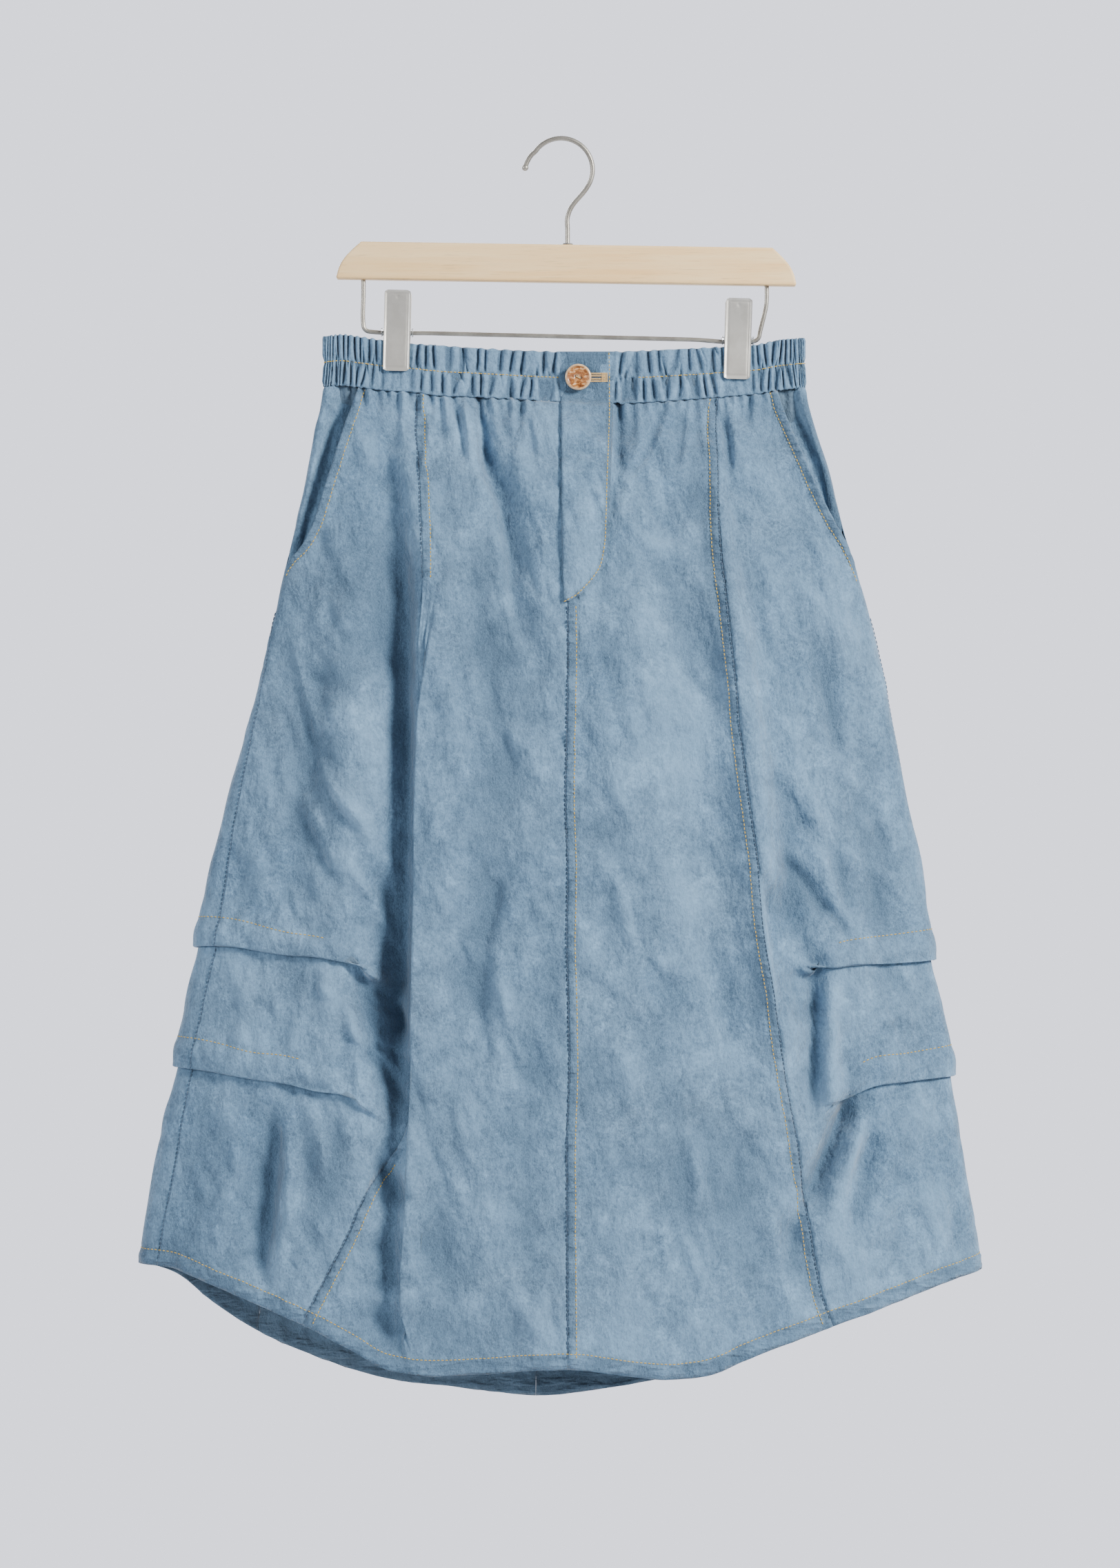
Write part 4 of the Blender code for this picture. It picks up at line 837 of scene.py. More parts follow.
def cotton(name, seam_strength=1.0):
    made, tree, shader, place = new_material(name)
    clouds = stretch(tree, noise(tree, place, 17.0, 5.0, 0.62), 0.40, 0.62)
    warm = stretch(tree, noise(tree, place, 8.0, 3.0, 0.55), 0.42, 0.62)
    fine = stretch(tree, noise(tree, place, 70.0, 5.0, 0.68), 0.36, 0.62)
    fibre = noise(tree, scaled(tree, place, (1.0, 1.0, 0.45)), 1500.0, 2.0, 0.6)
    veins = ridged(tree, place, 95.0)
    blue = mix_colour(tree, warm, BLUE_MID, BLUE_WARM)
    blue = mix_colour(tree, stretch(tree, clouds, 0, 1, 0.0, 0.88), blue, BLUE_LIGHT)
    blue = mix_colour(tree, stretch(tree, fine, 0, 1, 0.58, 0.0), blue, BLUE_DARK)
    specks = noise(tree, place, 420.0, 3.0, 0.7)
    blue = mix_colour(tree, stretch(tree, specks, 0.36, 0.52, 0.40, 0.0), blue, BLUE_DARK)
    blue = mix_colour(tree, stretch(tree, specks, 0.52, 0.66, 0.0, 0.35), blue, BLUE_LIGHT)
    blue = mix_colour(tree, stretch(tree, veins, 0.0, 0.05, 0.32, 0.0), blue, BLUE_LIGHT)
    # Light rubbed wear along thin wandering lines, and beside each line a darker band: painted shade of its
    # small crease
    worn_lines_and_shade = ridged(tree, scaled(tree, place, (1.0, 1.0, 0.7)), 36.0)
    blue = mix_colour(tree, stretch(tree, worn_lines_and_shade, 0.0, 0.035, 0.36, 0.0), blue, BLUE_LIGHT)
    blue = mix_colour(tree, stretch(tree, worn_lines_and_shade, 0.06, 0.12, 0.28, 0.0), blue, BLUE_DARK)
    # The tone attribute paints shade into troughs, creases and gather valleys, and a highlight onto ridges
    tone = attribute(tree, "tone")
    blue = mix_colour(tree, stretch(tree, tone, 0.0, 1.0, 0.0, 0.45), blue, BLUE_LIGHT)
    blue = mix_colour(tree, stretch(tree, tone, 0.0, -1.0, 0.0, 0.80), blue, BLUE_DARK)
    seam = attribute(tree, "seam")
    marks = stretch(tree, noise(tree, scaled(tree, place, (45.0, 45.0, 170.0)), 1.0, 2.0, 0.5), 0.42, 0.62)
    seam_dark = math_node(tree, "MULTIPLY", seam, stretch(tree, marks, 0, 1, 0.72, 0.30))
    blue = mix_colour(tree, math_node(tree, "MULTIPLY", seam_dark, seam_strength), blue, BLUE_DARK)
    blue = mix_colour(tree, stretch(tree, fibre, 0.30, 0.70, 0.0, 0.30), blue, BLUE_LIGHT)
    # The inner faces of the cloth are painted darker: painted shade inside the skirt
    inside = attribute(tree, "inside")
    blue = mix_colour(tree, math_node(tree, "MULTIPLY", inside, 0.55), blue, (0.085, 0.125, 0.165))
    tree.links.new(blue, shader.inputs["Base Color"])
    put(shader, ("Roughness", 0.88), ("Specular IOR Level", 0.25))
    put(shader, ("Sheen Weight", 0.25), ("Sheen Roughness", 0.6))
    hanging = scaled(tree, place, (1.0, 1.0, 0.6))
    relief = bump(tree, noise(tree, hanging, 58.0, 5.0, 0.60), 0.68, 0.0078)
    relief = bump(tree, ridged(tree, hanging, 42.0), 0.32, 0.0060, relief)
    relief = bump(tree, noise(tree, place, 240.0, 4.0, 0.62), 0.50, 0.0012, relief)
    puckers = math_node(tree, "MULTIPLY", marks, seam)
    relief = bump(tree, puckers, 0.85, 0.0012, relief)
    relief = bump(tree, fibre, 0.35, 0.00030, relief)
    tree.links.new(relief, shader.inputs["Normal"])
    return made


COTTON = cotton("dyed_cotton")

# %% Seam marks beside sewn edges
SEAM_ALLOWANCE = 0.0072


def edge_distances(grid):
    """Distance of each point from the left and right end of its row"""
    steps = np.linalg.norm(np.diff(grid, axis=1), axis=-1)
    run = np.concatenate((np.zeros((len(grid), 1)), np.cumsum(steps, axis=1)), axis=1)
    return run, run[:, -1:] - run


def hem_distances(grid):
    steps = np.linalg.norm(np.diff(grid, axis=0), axis=-1)
    run = np.concatenate((np.zeros((1, grid.shape[1])), np.cumsum(steps, axis=0)), axis=0)
    return run[-1:] - run


def band_mask(distance, width=SEAM_ALLOWANCE):
    return ease((width - distance) / 0.0015)


def seam_ridge(distance, width=SEAM_ALLOWANCE):
    """Profile of a turned and stitched seam allowance under the cloth"""
    inside = ease(distance / 0.0012) * ease((width - distance) / 0.0014)
    stitch = np.exp(-(((distance - width) / 0.0011) ** 2))
    return 0.00055 * inside - 0.00045 * stitch


# %% [markdown]
# A panel is laid between its two seam lines. Its rows come from the tucks, and each point is lifted off the
# plain form by creases and seams. Each sewn edge that is marked for a panel gets its ridge and stitch groove.

# %% Building a panel
PANELS = {}
EDGE_GAP = 0.00005
POCKET_LIFT = 0.0062


def finish_panel(name, turns, drops, heights, tilts, sideways, sewn, back, lifted=0.0):
    """Points of a panel from its turns, drops, heights and tilts, then its closed cloth"""
    outward, downward, rightward = directions(turns, drops)
    base = plain(turns, drops) + outward * heights[..., None]
    left_run, right_run = edge_distances(base)
    hem_run = hem_distances(base)
    extra = seam_ridge(hem_run, HEM_TURN) * 0.8
    seam = band_mask(hem_run, HEM_TURN + 0.001)
    for side, run in (("left", left_run), ("right", right_run)):
        if side in sewn:
            where = sewn[side](down_of(turns, drops))
            extra = extra + seam_ridge(run) * where
            seam = np.maximum(seam, band_mask(run) * where)
    ripple = 0.00035 * np.sin(2 * PI * drops / 0.0105 + 2.5 * cloud(base, 0.02, 7)) * seam
    forward = -rightward if sideways else downward
    face = np.cos(tilts)[..., None] * outward + np.sin(tilts)[..., None] * forward
    grid = base + face * (extra + ripple)[..., None]
    fine = detail(turns, drops, back)
    large = fold_height(BACK_FOLDS if back else FRONT_FOLDS, base[..., 0], drops)
    # Tone: painted shade in the troughs of the large folds, and painted shade and highlight from the small
    # creases, gathers and the sink under the band
    tone = np.clip(np.minimum(large + lifted, 0) / 0.014 + (fine - large) / 0.0055, -1, 1)
    thick = CLOTH + (HEM_CLOTH - CLOTH) * ease((HEM_TURN - hem_run) / 0.001)
    piece = cloth_piece(name + "_cloth", grid, thick, COTTON, seam, tone)
    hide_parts(name)
    PANELS[name] = grid


def turns_between(left_line, right_line, columns):
    """Turns and drops of every point, so that each row meets the seam lines where they cross it"""
    spread = np.linspace(0, 1, columns)
    turns = np.zeros((len(ROWS), columns))
    drops = np.zeros_like(turns)
    heights = np.zeros_like(turns)
    tilts = np.zeros_like(turns)
    for number, (kind, part) in enumerate(ROWS):
        turn = left_line(0.5) + (right_line(0.5) - left_line(0.5)) * spread
        for _ in range(5):
            drop, height, tilt = row_place(kind, part, turn)
            down = down_of(turn, drop)
            turn = left_line(down) + (right_line(down) - left_line(down)) * spread
        drop, height, tilt = row_place(kind, part, turn)
        turns[number], drops[number], heights[number], tilts[number] = turn, drop, height, tilt
    reach = np.linalg.norm(plain(turns + 0.001, drops) - plain(turns - 0.001, drops), axis=-1) / 0.002
    turns += (1 - 2 * spread) * EDGE_GAP / reach
    return turns, drops, heights, tilts


def panel(name, left_line, right_line, columns, sewn, back=False, pocket=None, under=False):
    turns, drops, heights, tilts = turns_between(left_line, right_line, columns)
    heights = heights + level(turns, drops, under) * np.cos(tilts)
    heights = heights + detail(turns, drops, back) * (0.35 + 0.65 * np.cos(tilts) ** 2)
    if pocket is not None:
        down = down_of(turns, drops)
        spread = np.linspace(0, 1, columns)
        away = spread if pocket == "left" else 1 - spread
        opened = np.sin(PI * np.clip(down / POCKET_END, 0, 1)) ** 1.2
        heights = heights + POCKET_LIFT * opened * ease(1 - away * 4.5)
    finish_panel(name, turns, drops, heights, tilts, False, sewn, back)


def share_line(table):
    return lambda down: turn_of(table.at("share", down))


def back_line(table):
    return lambda down: 2 - turn_of(table.at("share", down))


def pocket_or_side(pocket, side):
    return lambda down: np.where(down < POCKET_END, pocket.at("turn", down), side.at("turn", down))


def everywhere(down):
    return np.ones_like(down)


def pocket_part(down):
    return ease((POCKET_END - down) / 0.01)


# %% Front centre left, with the long fold
def front_centre_left():
    plain_columns = 66
    bends = [("turn", s) for s in np.linspace(0, 1, 8)] + [("under", s) for s in np.linspace(0.2, 1, 5)]
    bends += [("return", s) for s in np.linspace(0.14, 1, 7)]
    tail_columns = 18
    count = tail_columns + len(bends) + plain_columns
    turns = np.zeros((len(ROWS), count))
    drops = np.zeros_like(turns)
    heights = np.zeros_like(turns)
    tilts = np.zeros_like(turns)
    folded = np.zeros((len(ROWS), 1))
    for number, (kind, part) in enumerate(ROWS):
        seam = np.array([0.37])
        end = np.array([0.5])
        for _ in range(5):
            seam_drop = row_place(kind, part, seam)[0]
            seam = turn_of(LEFT_PRINCESS.at("share", down_of(seam, seam_drop)))
            end_drop = row_place(kind, part, end)[0]
            end = turn_of(CENTRE_FRONT.at("share", down_of(end, end_drop)))
        width = width_at(seam_drop)
        share, fold, angle, back, step = long_fold(down_of(seam, seam_drop))
        folded[number] = ease(fold / 0.4)
        loose = 1 - np.minimum(1, fold * 1.4)
        radius = FOLD_RADIUS
        chain = []
        for order, (stage, s) in enumerate(bends):
            if stage == "turn":
                bend = angle * s
                forward, height = radius * np.sin(bend), -radius * (1 - np.cos(bend))
            elif stage == "under":
                bend = angle
                forward = radius * np.sin(angle) + back * np.cos(angle) * s
                height = -radius * (1 - np.cos(angle)) - back * np.sin(angle) * s
            else:
                bend = angle * (1 - s)
                forward = 2 * radius * np.sin(angle) - radius * np.sin(bend) + back * np.cos(angle)
                height = -radius * (1 - np.cos(angle)) - back * np.sin(angle)
                height = height - radius * (np.cos(bend) - np.cos(angle))
            aside = radius - forward + loose * (1 - order / len(bends)) * 0.015
            chain.append((turn_of(share + aside / width)[0], (step / 2 + height)[0], bend[0]))
        chain.reverse()
        tail = np.linspace(seam[0], chain[0][0], tail_columns, endpoint=False)
        main = chain[-1][0] + (end[0] - chain[-1][0]) * np.linspace(0, 1, plain_columns + 1)[1:]
        turn = np.concatenate((tail, [c[0] for c in chain], main))
        drop = row_place(kind, part, turn)[0]
        turns[number], drops[number] = turn, drop
        low = level(tail, drop[:tail_columns], True)
        high = level(main, drop[-plain_columns:], False)
        proud = (level(np.array([chain[-1][0]]), drop[-plain_columns:][:1], False) - step / 2)[0]
        middle = np.array([c[1] for c in chain])
        middle = middle + proud * np.linspace(-1, 1, len(chain))
        heights[number] = np.concatenate((low, middle, high))
        tilts[number, tail_columns:tail_columns + len(chain)] = [c[2] for c in chain]
    x = plain(turns, drops)[..., 0]
    beneath = np.zeros_like(x)
    beneath[:, :tail_columns] = ease((x[:, tail_columns:tail_columns + 1] - x[:, :tail_columns]) / 0.010)
    lifted = -fold_height(FRONT_FOLDS[:1], x, drops) * (1 - beneath) * folded
    heights = heights + (detail(turns, drops, False) + lifted) * (0.35 + 0.65 * np.cos(tilts) ** 2)
    sewn = {
        "left": lambda down: np.where((down < 0.195) | (down > 0.775), 1.0, 0.0),
    }
    finish_panel("front_centre_left", turns, drops, heights, tilts, True, sewn, False, lifted)


front_centre_left()

# %% The other panels
SIDE_COLUMNS = 74
panel("front_centre_right", share_line(CENTRE_FRONT), share_line(RIGHT_PRINCESS), SIDE_COLUMNS,
      {"left": everywhere, "right": everywhere})
panel("front_side_left", pocket_or_side(LEFT_POCKET_EDGE, LEFT_SIDE_SEAM), share_line(LEFT_PRINCESS),
      SIDE_COLUMNS, {"left": pocket_part}, pocket="left", under=True)
panel("front_side_right", share_line(RIGHT_PRINCESS), pocket_or_side(RIGHT_POCKET_EDGE, RIGHT_SIDE_SEAM),
      SIDE_COLUMNS, {"right": pocket_part}, pocket="right")
panel("back_side_right", lambda down: RIGHT_SIDE_SEAM.at("turn", down), back_line(BACK_RIGHT_PRINCESS),
      SIDE_COLUMNS, {}, back=True)
panel("back_centre_right", back_line(BACK_RIGHT_PRINCESS), back_line(CENTRE_BACK), SIDE_COLUMNS,
      {"left": everywhere, "right": everywhere}, back=True)
panel("back_centre_left", back_line(CENTRE_BACK), back_line(BACK_LEFT_PRINCESS), SIDE_COLUMNS,
      {"right": everywhere}, back=True)
panel("back_side_left", back_line(BACK_LEFT_PRINCESS), lambda down: 2 + LEFT_SIDE_SEAM.at("turn", down),
      SIDE_COLUMNS, {}, back=True)

# %% [markdown]
# Behind each slant pocket lies the hip piece. It is level with the skirt outside the opening, drops back
# under the pocket's edge, and turns up to the panel again inside, which closes the pocket's mouth.

# %% Pocket backings
POCKET_SETBACK = 0.0065


def pocket_backing(name, side):
    start, sign = (0.0, 1) if side == "left" else (1.0, -1)
    opening = LEFT_POCKET_EDGE if side == "left" else RIGHT_POCKET_EDGE
    downs = np.linspace(0.0, 0.245, 64)[:, None]
    edge = abs(opening.at("turn", downs) - start)
    away = np.linspace(0, 1, 44)[None, :] * (edge + 0.05) + 0.001
    turns = start + sign * away
    drops = down_drop(turns, downs)
    under = ease((away - edge + 0.085) / 0.055)
    at_seam = 1 - (1 - ease(away / 0.02)) * ease((edge - 0.005) / 0.03)
    mouth = (1 - ease((away - edge - 0.026) / 0.020)) * (1 - ease((downs - 0.180) / 0.030))
    sink = ((CLOTH + 0.0004) * at_seam + POCKET_SETBACK * mouth) * under
    heights = detail(turns, drops, False) * (0.6 + 0.4 * ease((away - edge) / 0.030)) - sink
    if side == "right":
        turns, drops, heights = turns[:, ::-1], drops[:, ::-1], heights[:, ::-1]
    outward, _, _ = directions(turns, drops)
    grid = plain(turns, drops) + outward * heights[..., None]
    # Painted shade on the backing inside and behind the pocket's mouth
    shade = -ease((away - edge + 0.026) / 0.020) * ease(downs / 0.02)
    piece = cloth_piece(name + "_cloth", grid, CLOTH, COTTON, tone=shade)
    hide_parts(name)


pocket_backing("pocket_backing_left", "left")
pocket_backing("pocket_backing_right", "right")

# %% [markdown]
# The waistband is a doubled band drawn up on elastic. Its gathers stand close together and change place
# between the upper and the lower half. Short slanted pinches lie among them, most of them from the stitches
# outward. The row of stitches and the clips pin all of it down.

# %% Waistband
BAND_WALL = 0.0016
BAND_COLUMNS = 13
BAND_ROWS = 34
BAND_STITCH_ROW = 0.52
PINCHES_PER_GATHER = 1.4
CLIP_X = (-0.1284, 0.1385)
CLIP_WIDTH = 0.0207


def band_points(start, end, gathers):
    """Outer points of a gathered band between two turns"""
    columns = gathers * BAND_COLUMNS + 1
    turn = np.linspace(start, end, columns)
    share = share_of(turn)
    top = WAIST.at("top", share)
    seam = WAIST.at("seam", share) - 0.0002
    part = np.linspace(0, 1, BAND_ROWS)[:, None]
    drops = top + (seam - top) * part
    turns = np.broadcast_to(turn, drops.shape)
    x = plain(turns, drops)[..., 0]
    rng = np.random.default_rng(gathers)
    total = np.zeros_like(drops)
    phase = np.linspace(0, gathers, columns)
    counts = np.arange(gathers + 1)
    for half, low, high in (("upper", 0.0, 0.5), ("lower", 0.5, 1.0)):
        inside = (part >= low) & (part <= high if half == "lower" else part < high)
        across = (part - low) / (high - low)
        wander = np.interp(phase, counts, rng.normal(0, 0.22, gathers + 1))
        sizes = np.interp(phase, counts, 0.55 + 0.75 * rng.random(gathers + 1))
        lean = np.interp(phase, counts, rng.normal(0, 0.30, gathers + 1))
        place = phase + wander + lean * (across - 0.5) + (0.5 if half == "lower" else 0.0)
        valley = -(np.abs(np.cos(PI * place)) ** 8)
        ridge = np.sin(PI * place) ** 2
        swell = ease((1 - across) / 0.30)
        if half == "lower":
            swell = ease(across / 0.30) * ease((1 - across) / 0.22)
        swell = 0.25 + 0.75 * swell
        relief = (0.0014 * ridge + 0.0022 * valley) * sizes * swell
        for _ in range(int(gathers * PINCHES_PER_GATHER)):
            spot, slant = gathers * rng.random(), rng.normal(0, 0.45)
            depth = 0.0008 + 0.0012 * rng.random()
            wide = 0.07 + 0.06 * rng.random()
            reach = 0.5 + 0.7 * rng.random()
            from_stitch = (1 - across) if half == "upper" else across
            if rng.random() < 0.3:
                from_stitch = 1 - from_stitch
            u = (phase - spot - slant * from_stitch) / (wide * (0.7 + 0.8 * from_stitch))
            relief = relief - depth * np.exp(-u * u) * ease(1 - from_stitch / reach)
        total = total + np.where(inside, relief, 0.0)
    at_clip = np.min([abs(x - clip) for clip in CLIP_X], axis=0)
    calm = 0.12 + 0.88 * ease((at_clip - CLIP_WIDTH / 2 + 0.001) / 0.005)
    flap = ease((abs(x - 0.0195) - 0.0185) / 0.006)
    total = total * calm * flap
    stitch = np.exp(-(((part - BAND_STITCH_ROW) / 0.035) ** 2)) + 0.6 * np.exp(-(((part - 1.0) / 0.05) ** 2))
    edge_round = -0.0006 * np.exp(-((part / 0.03) ** 2))
    outward, _, _ = directions(turns, drops)
    base = plain(turns, drops)
    soft = 0.0003 * cloud(base, 0.012, 9) + 0.00025 * cloud(base, 0.005, 11)
    heights = total - 0.00035 * stitch + edge_round + soft - 0.0002
    tops = 0.0007 * ridge_row(phase, rng) * calm[0] * flap[0]
    lows = 0.0008 * ridge_row(phase, rng) * calm[-1] * flap[-1]
    drops = drops + tops * (1 - part) ** 2 + lows * part ** 6
    return plain(turns, drops) + outward * heights[..., None], total


def ridge_row(phase, rng):
    """Small rises of one edge of the band, one at each gather"""
    last = int(phase.max())
    return np.sin(2 * PI * (phase + 0.25)) * np.interp(phase, np.arange(last + 1), rng.random(last + 1))


def turn_at(x, drop):
    left = OUTLINE.at("left", drop)
    return turn_of((x - left) / (OUTLINE.at("right", drop) - left))


CENTRE_X = 0.0045
BAND_GRIDS = {}
band_middle = float(turn_at(CENTRE_X, 0.175))
for band_name, band_start, band_end, band_gathers in (
    ("waistband_front_left", 0.0005, band_middle - 0.0003, 28),
    ("waistband_front_right", band_middle + 0.0003, 0.9995, 27),
    ("waistband_back", 1.0005, 1.9995, 55),
):
    band_grid, band_relief = band_points(band_start, band_end, band_gathers)
    # Painted shade in the gather valleys and a weaker painted highlight on their ridges
    band_valley_shade = np.clip(band_relief / 0.0006, -1, 0.5)
    band_piece = cloth_piece(band_name + "_cloth", band_grid, BAND_WALL, COTTON, tone=band_valley_shade)
    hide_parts(band_name)
    BAND_GRIDS[band_name] = band_grid

# %% [markdown]
# The fly is one strip that lies over the centre front, from the top of the band to a curved end. It is laid
# on the panels below, so it follows their creases.

# %% Fly placket
FLY = table(
    "drop left right",
    (1655, -19, 405), (1830, -10, 408), (1990, -4, 408), (2110, -2, 408), (2350, 0, 400), (2700, 2, 385),
    (3000, 3, 376), (3220, 6, 362), (3390, 11, 317), (3520, 17, 218), (3595, 22, 135), (3635, 30, 60),
)
FLY_WALL = 0.0012
fly_curve = 0.335 + 0.0285 * np.sin(np.linspace(0.04, PI / 2, 40))
fly_drops = np.concatenate((np.linspace(0.1655, 0.335, 90), fly_curve))[:, None]
fly_left = FLY.at("left", fly_drops)
fly_right = FLY.at("right", fly_drops)
fly_x = fly_left + (fly_right - fly_left) * np.linspace(0, 1, 30)[None, :]
fly_drops = np.broadcast_to(fly_drops, fly_x.shape)
fly_turns = turn_at(fly_x, fly_drops)
fly_detail = detail(fly_turns, fly_drops, False)
fly_height = level(fly_turns, fly_drops, False) + fly_detail + FLY_WALL + 0.0004
fly_edge = np.minimum(fly_x - fly_left, fly_right - fly_x)
fly_stitch = np.exp(-(((fly_right - fly_x - 0.0025) / 0.0011) ** 2))
fly_height = fly_height + 0.0003 * ease(fly_edge / 0.002) - 0.0004 * fly_stitch
fly_height = fly_height + 0.0010 * ease((fly_drops - 0.205) / 0.02) * 0.6
fly_out, _, _ = directions(fly_turns, fly_drops)
fly_grid = plain(fly_turns, fly_drops) + fly_out * fly_height[..., None]
fly_seam = 0.7 * ease((0.006 - (fly_right - fly_x)) / 0.002)
# The whole fly is a little darker, its creases get painted shade and highlight, and a dark rim along its
# edges is painted shade of the edge
fly_shade_tone = np.clip(fly_detail / 0.004 - 0.45 - 1.2 * ease((0.0022 - fly_edge) / 0.0016), -1, 1)
fly_piece = cloth_piece("fly_placket_cloth", fly_grid, FLY_WALL, COTTON, fly_seam, fly_shade_tone)
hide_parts("fly_placket")

# %% [markdown]
# Stitches are small and many, so Geometry Nodes lay them. A line of points on the cloth becomes a curve, it
# is resampled at the stitch length, and each point gets one short thread turned along the line. Realize
# Instances makes them real mesh, because an export keeps only real mesh.

# %% Stitch laying with Geometry Nodes
def thread_material(name, colour, dark):
    made, tree, shader, place = new_material(name)
    twist = stretch(tree, noise(tree, place, 2200.0, 2.0), 0.35, 0.65)
    tree.links.new(mix_colour(tree, twist, dark, colour), shader.inputs["Base Color"])
    shader.inputs["Roughness"].default_value = 0.6
    return made


GOLD_THREAD = thread_material("gold_thread", (0.72, 0.50, 0.10), (0.52, 0.34, 0.05))
BLUE_THREAD = thread_material("blue_thread", (0.10, 0.16, 0.24), (0.04, 0.07, 0.12))
TAN_THREAD = thread_material("tan_thread", (0.80, 0.58, 0.30), (0.55, 0.36, 0.16))


def stitch_tree(name, look):
    """A node tree that lays one thread at each step along a curve"""
    tree = bpy.data.node_groups.new(name, "GeometryNodeTree")
    tree.interface.new_socket("Geometry", in_out="INPUT", socket_type="NodeSocketGeometry")
    for label, value in (("Pitch", 0.0031), ("Length", 0.0024), ("Thickness", 0.00026)):
        socket = tree.interface.new_socket(label, in_out="INPUT", socket_type="NodeSocketFloat")
        socket.default_value = value
    tree.interface.new_socket("Geometry", in_out="OUTPUT", socket_type="NodeSocketGeometry")
    kinds = {
        "inputs": "NodeGroupInput", "curve": "GeometryNodeMeshToCurve",
        "resample": "GeometryNodeResampleCurve", "points": "GeometryNodeCurveToPoints",
        "thread": "GeometryNodeMeshUVSphere", "size": "ShaderNodeCombineXYZ", "half": "ShaderNodeMath",
        "shape": "GeometryNodeTransform", "lay": "GeometryNodeInstanceOnPoints",
        "real": "GeometryNodeRealizeInstances", "paint": "GeometryNodeSetMaterial",
        "output": "NodeGroupOutput",
    }
    nodes = {key: tree.nodes.new(kind) for key, kind in kinds.items()}
    nodes["resample"].mode = "LENGTH"
    nodes["points"].mode = "EVALUATED"
    put(nodes["thread"], ("Segments", 6), ("Rings", 4), ("Radius", 1.0))
    nodes["half"].operation = "MULTIPLY"
    nodes["half"].inputs[1].default_value = 0.5
    nodes["paint"].inputs["Material"].default_value = look
    for start, leaving, end, arriving in (
        ("inputs", "Geometry", "curve", "Mesh"), ("curve", "Curve", "resample", "Curve"),
        ("inputs", "Pitch", "resample", "Length"), ("resample", "Curve", "points", "Curve"),
        ("inputs", "Length", "half", 0), ("inputs", "Thickness", "size", "X"),
        ("inputs", "Thickness", "size", "Y"), ("half", 0, "size", "Z"),
        ("thread", "Mesh", "shape", "Geometry"), ("size", "Vector", "shape", "Scale"),
        ("points", "Points", "lay", "Points"), ("shape", "Geometry", "lay", "Instance"),
        ("points", "Rotation", "lay", "Rotation"), ("lay", "Instances", "real", "Geometry"),
        ("real", "Geometry", "paint", "Geometry"), ("paint", "Geometry", "output", "Geometry"),
    ):
        tree.links.new(nodes[start].outputs[leaving], nodes[end].inputs[arriving])
    return tree


STITCHES = {
    "gold": stitch_tree("gold_stitches", GOLD_THREAD),
    "blue": stitch_tree("blue_stitches", BLUE_THREAD),
    "tan": stitch_tree("tan_stitches", TAN_THREAD),
}


def real_mesh(piece):
    """The mesh that a piece's modifiers or its curve make"""
    return bpy.data.meshes.new_from_object(piece.evaluated_get(bpy.context.evaluated_depsgraph_get()))


def sew(name, lines, kind="gold", pitch=0.0031, length=0.0023, thickness=0.00040):
    """Lay stitches along lines of points and keep them as one plain mesh"""
    points = np.concatenate(lines)
    edges = []
    start = 0
    for line in lines:
        edges += [(start + k, start + k + 1) for k in range(len(line) - 1)]
        start += len(line)
    mesh = bpy.data.meshes.new(name + "_line")
    mesh.from_pydata([tuple(p) for p in points], edges, [])
    guide = new_object(name + "_line", mesh)
    layer = guide.modifiers.new("stitches", "NODES")
    layer.node_group = STITCHES[kind]
    settings = {"Pitch": pitch, "Length": length, "Thickness": thickness}
    for item in STITCHES[kind].interface.items_tree:
        if item.in_out == "INPUT" and item.name in settings:
            layer[item.identifier] = settings[item.name]
    done = real_mesh(guide)
    bpy.data.objects.remove(guide)
    made = new_object(name, done)
    done.shade_smooth()
    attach(made, BODY)
    print(name, len(done.polygons), "faces of thread")


# %% Lines that lie on the cloth
def beside_edge(name, side, distance, downs=(0.0, 1.0), lift=0.00022):
    """A line on a panel at a distance from its left or right edge, waist to hem"""
    grid = PANELS[name]
    left_run, right_run = edge_distances(grid)
    run = left_run if side == "left" else right_run
    out = grid_normals(grid)
    line = []
    for row in range(len(grid)):
        part = ROWS_DOWN[row]
        if not downs[0] <= part <= downs[1]:
            continue
        order = slice(None) if side == "left" else slice(None, None, -1)
        spot = np.array([np.interp(distance, run[row][order], grid[row, order, axis]) for axis in range(3)])
        face = np.array([np.interp(distance, run[row][order], out[row, order, axis]) for axis in range(3)])
        line.append(spot + face * lift)
    return np.array(line)


def above_hem(name, distance, lift=0.00012):
    grid = PANELS[name]
    run = hem_distances(grid)
    out = grid_normals(grid)
    line = []
    for column in range(grid.shape[1]):
        order = slice(None, None, -1)
        spot = [np.interp(distance, run[order, column], grid[order, column, axis]) for axis in range(3)]
        face = [np.interp(distance, run[order, column], out[order, column, axis]) for axis in range(3)]
        line.append(np.array(spot) + np.array(face) * lift)
    return np.array(line)


def along_row(grid, part, columns=None, lift=0.00015):
    row = int(round(part * (len(grid) - 1)))
    line = grid[row] + grid_normals(grid)[row] * lift
    return line if columns is None else line[columns[0]:columns[1]]


ROWS_DOWN = []
for row_kind, row_part in ROWS:
    row_drop = row_place(row_kind, row_part, np.array([0.5]))[0]
    ROWS_DOWN.append(float(down_of(np.array([0.5]), row_drop)[0]))

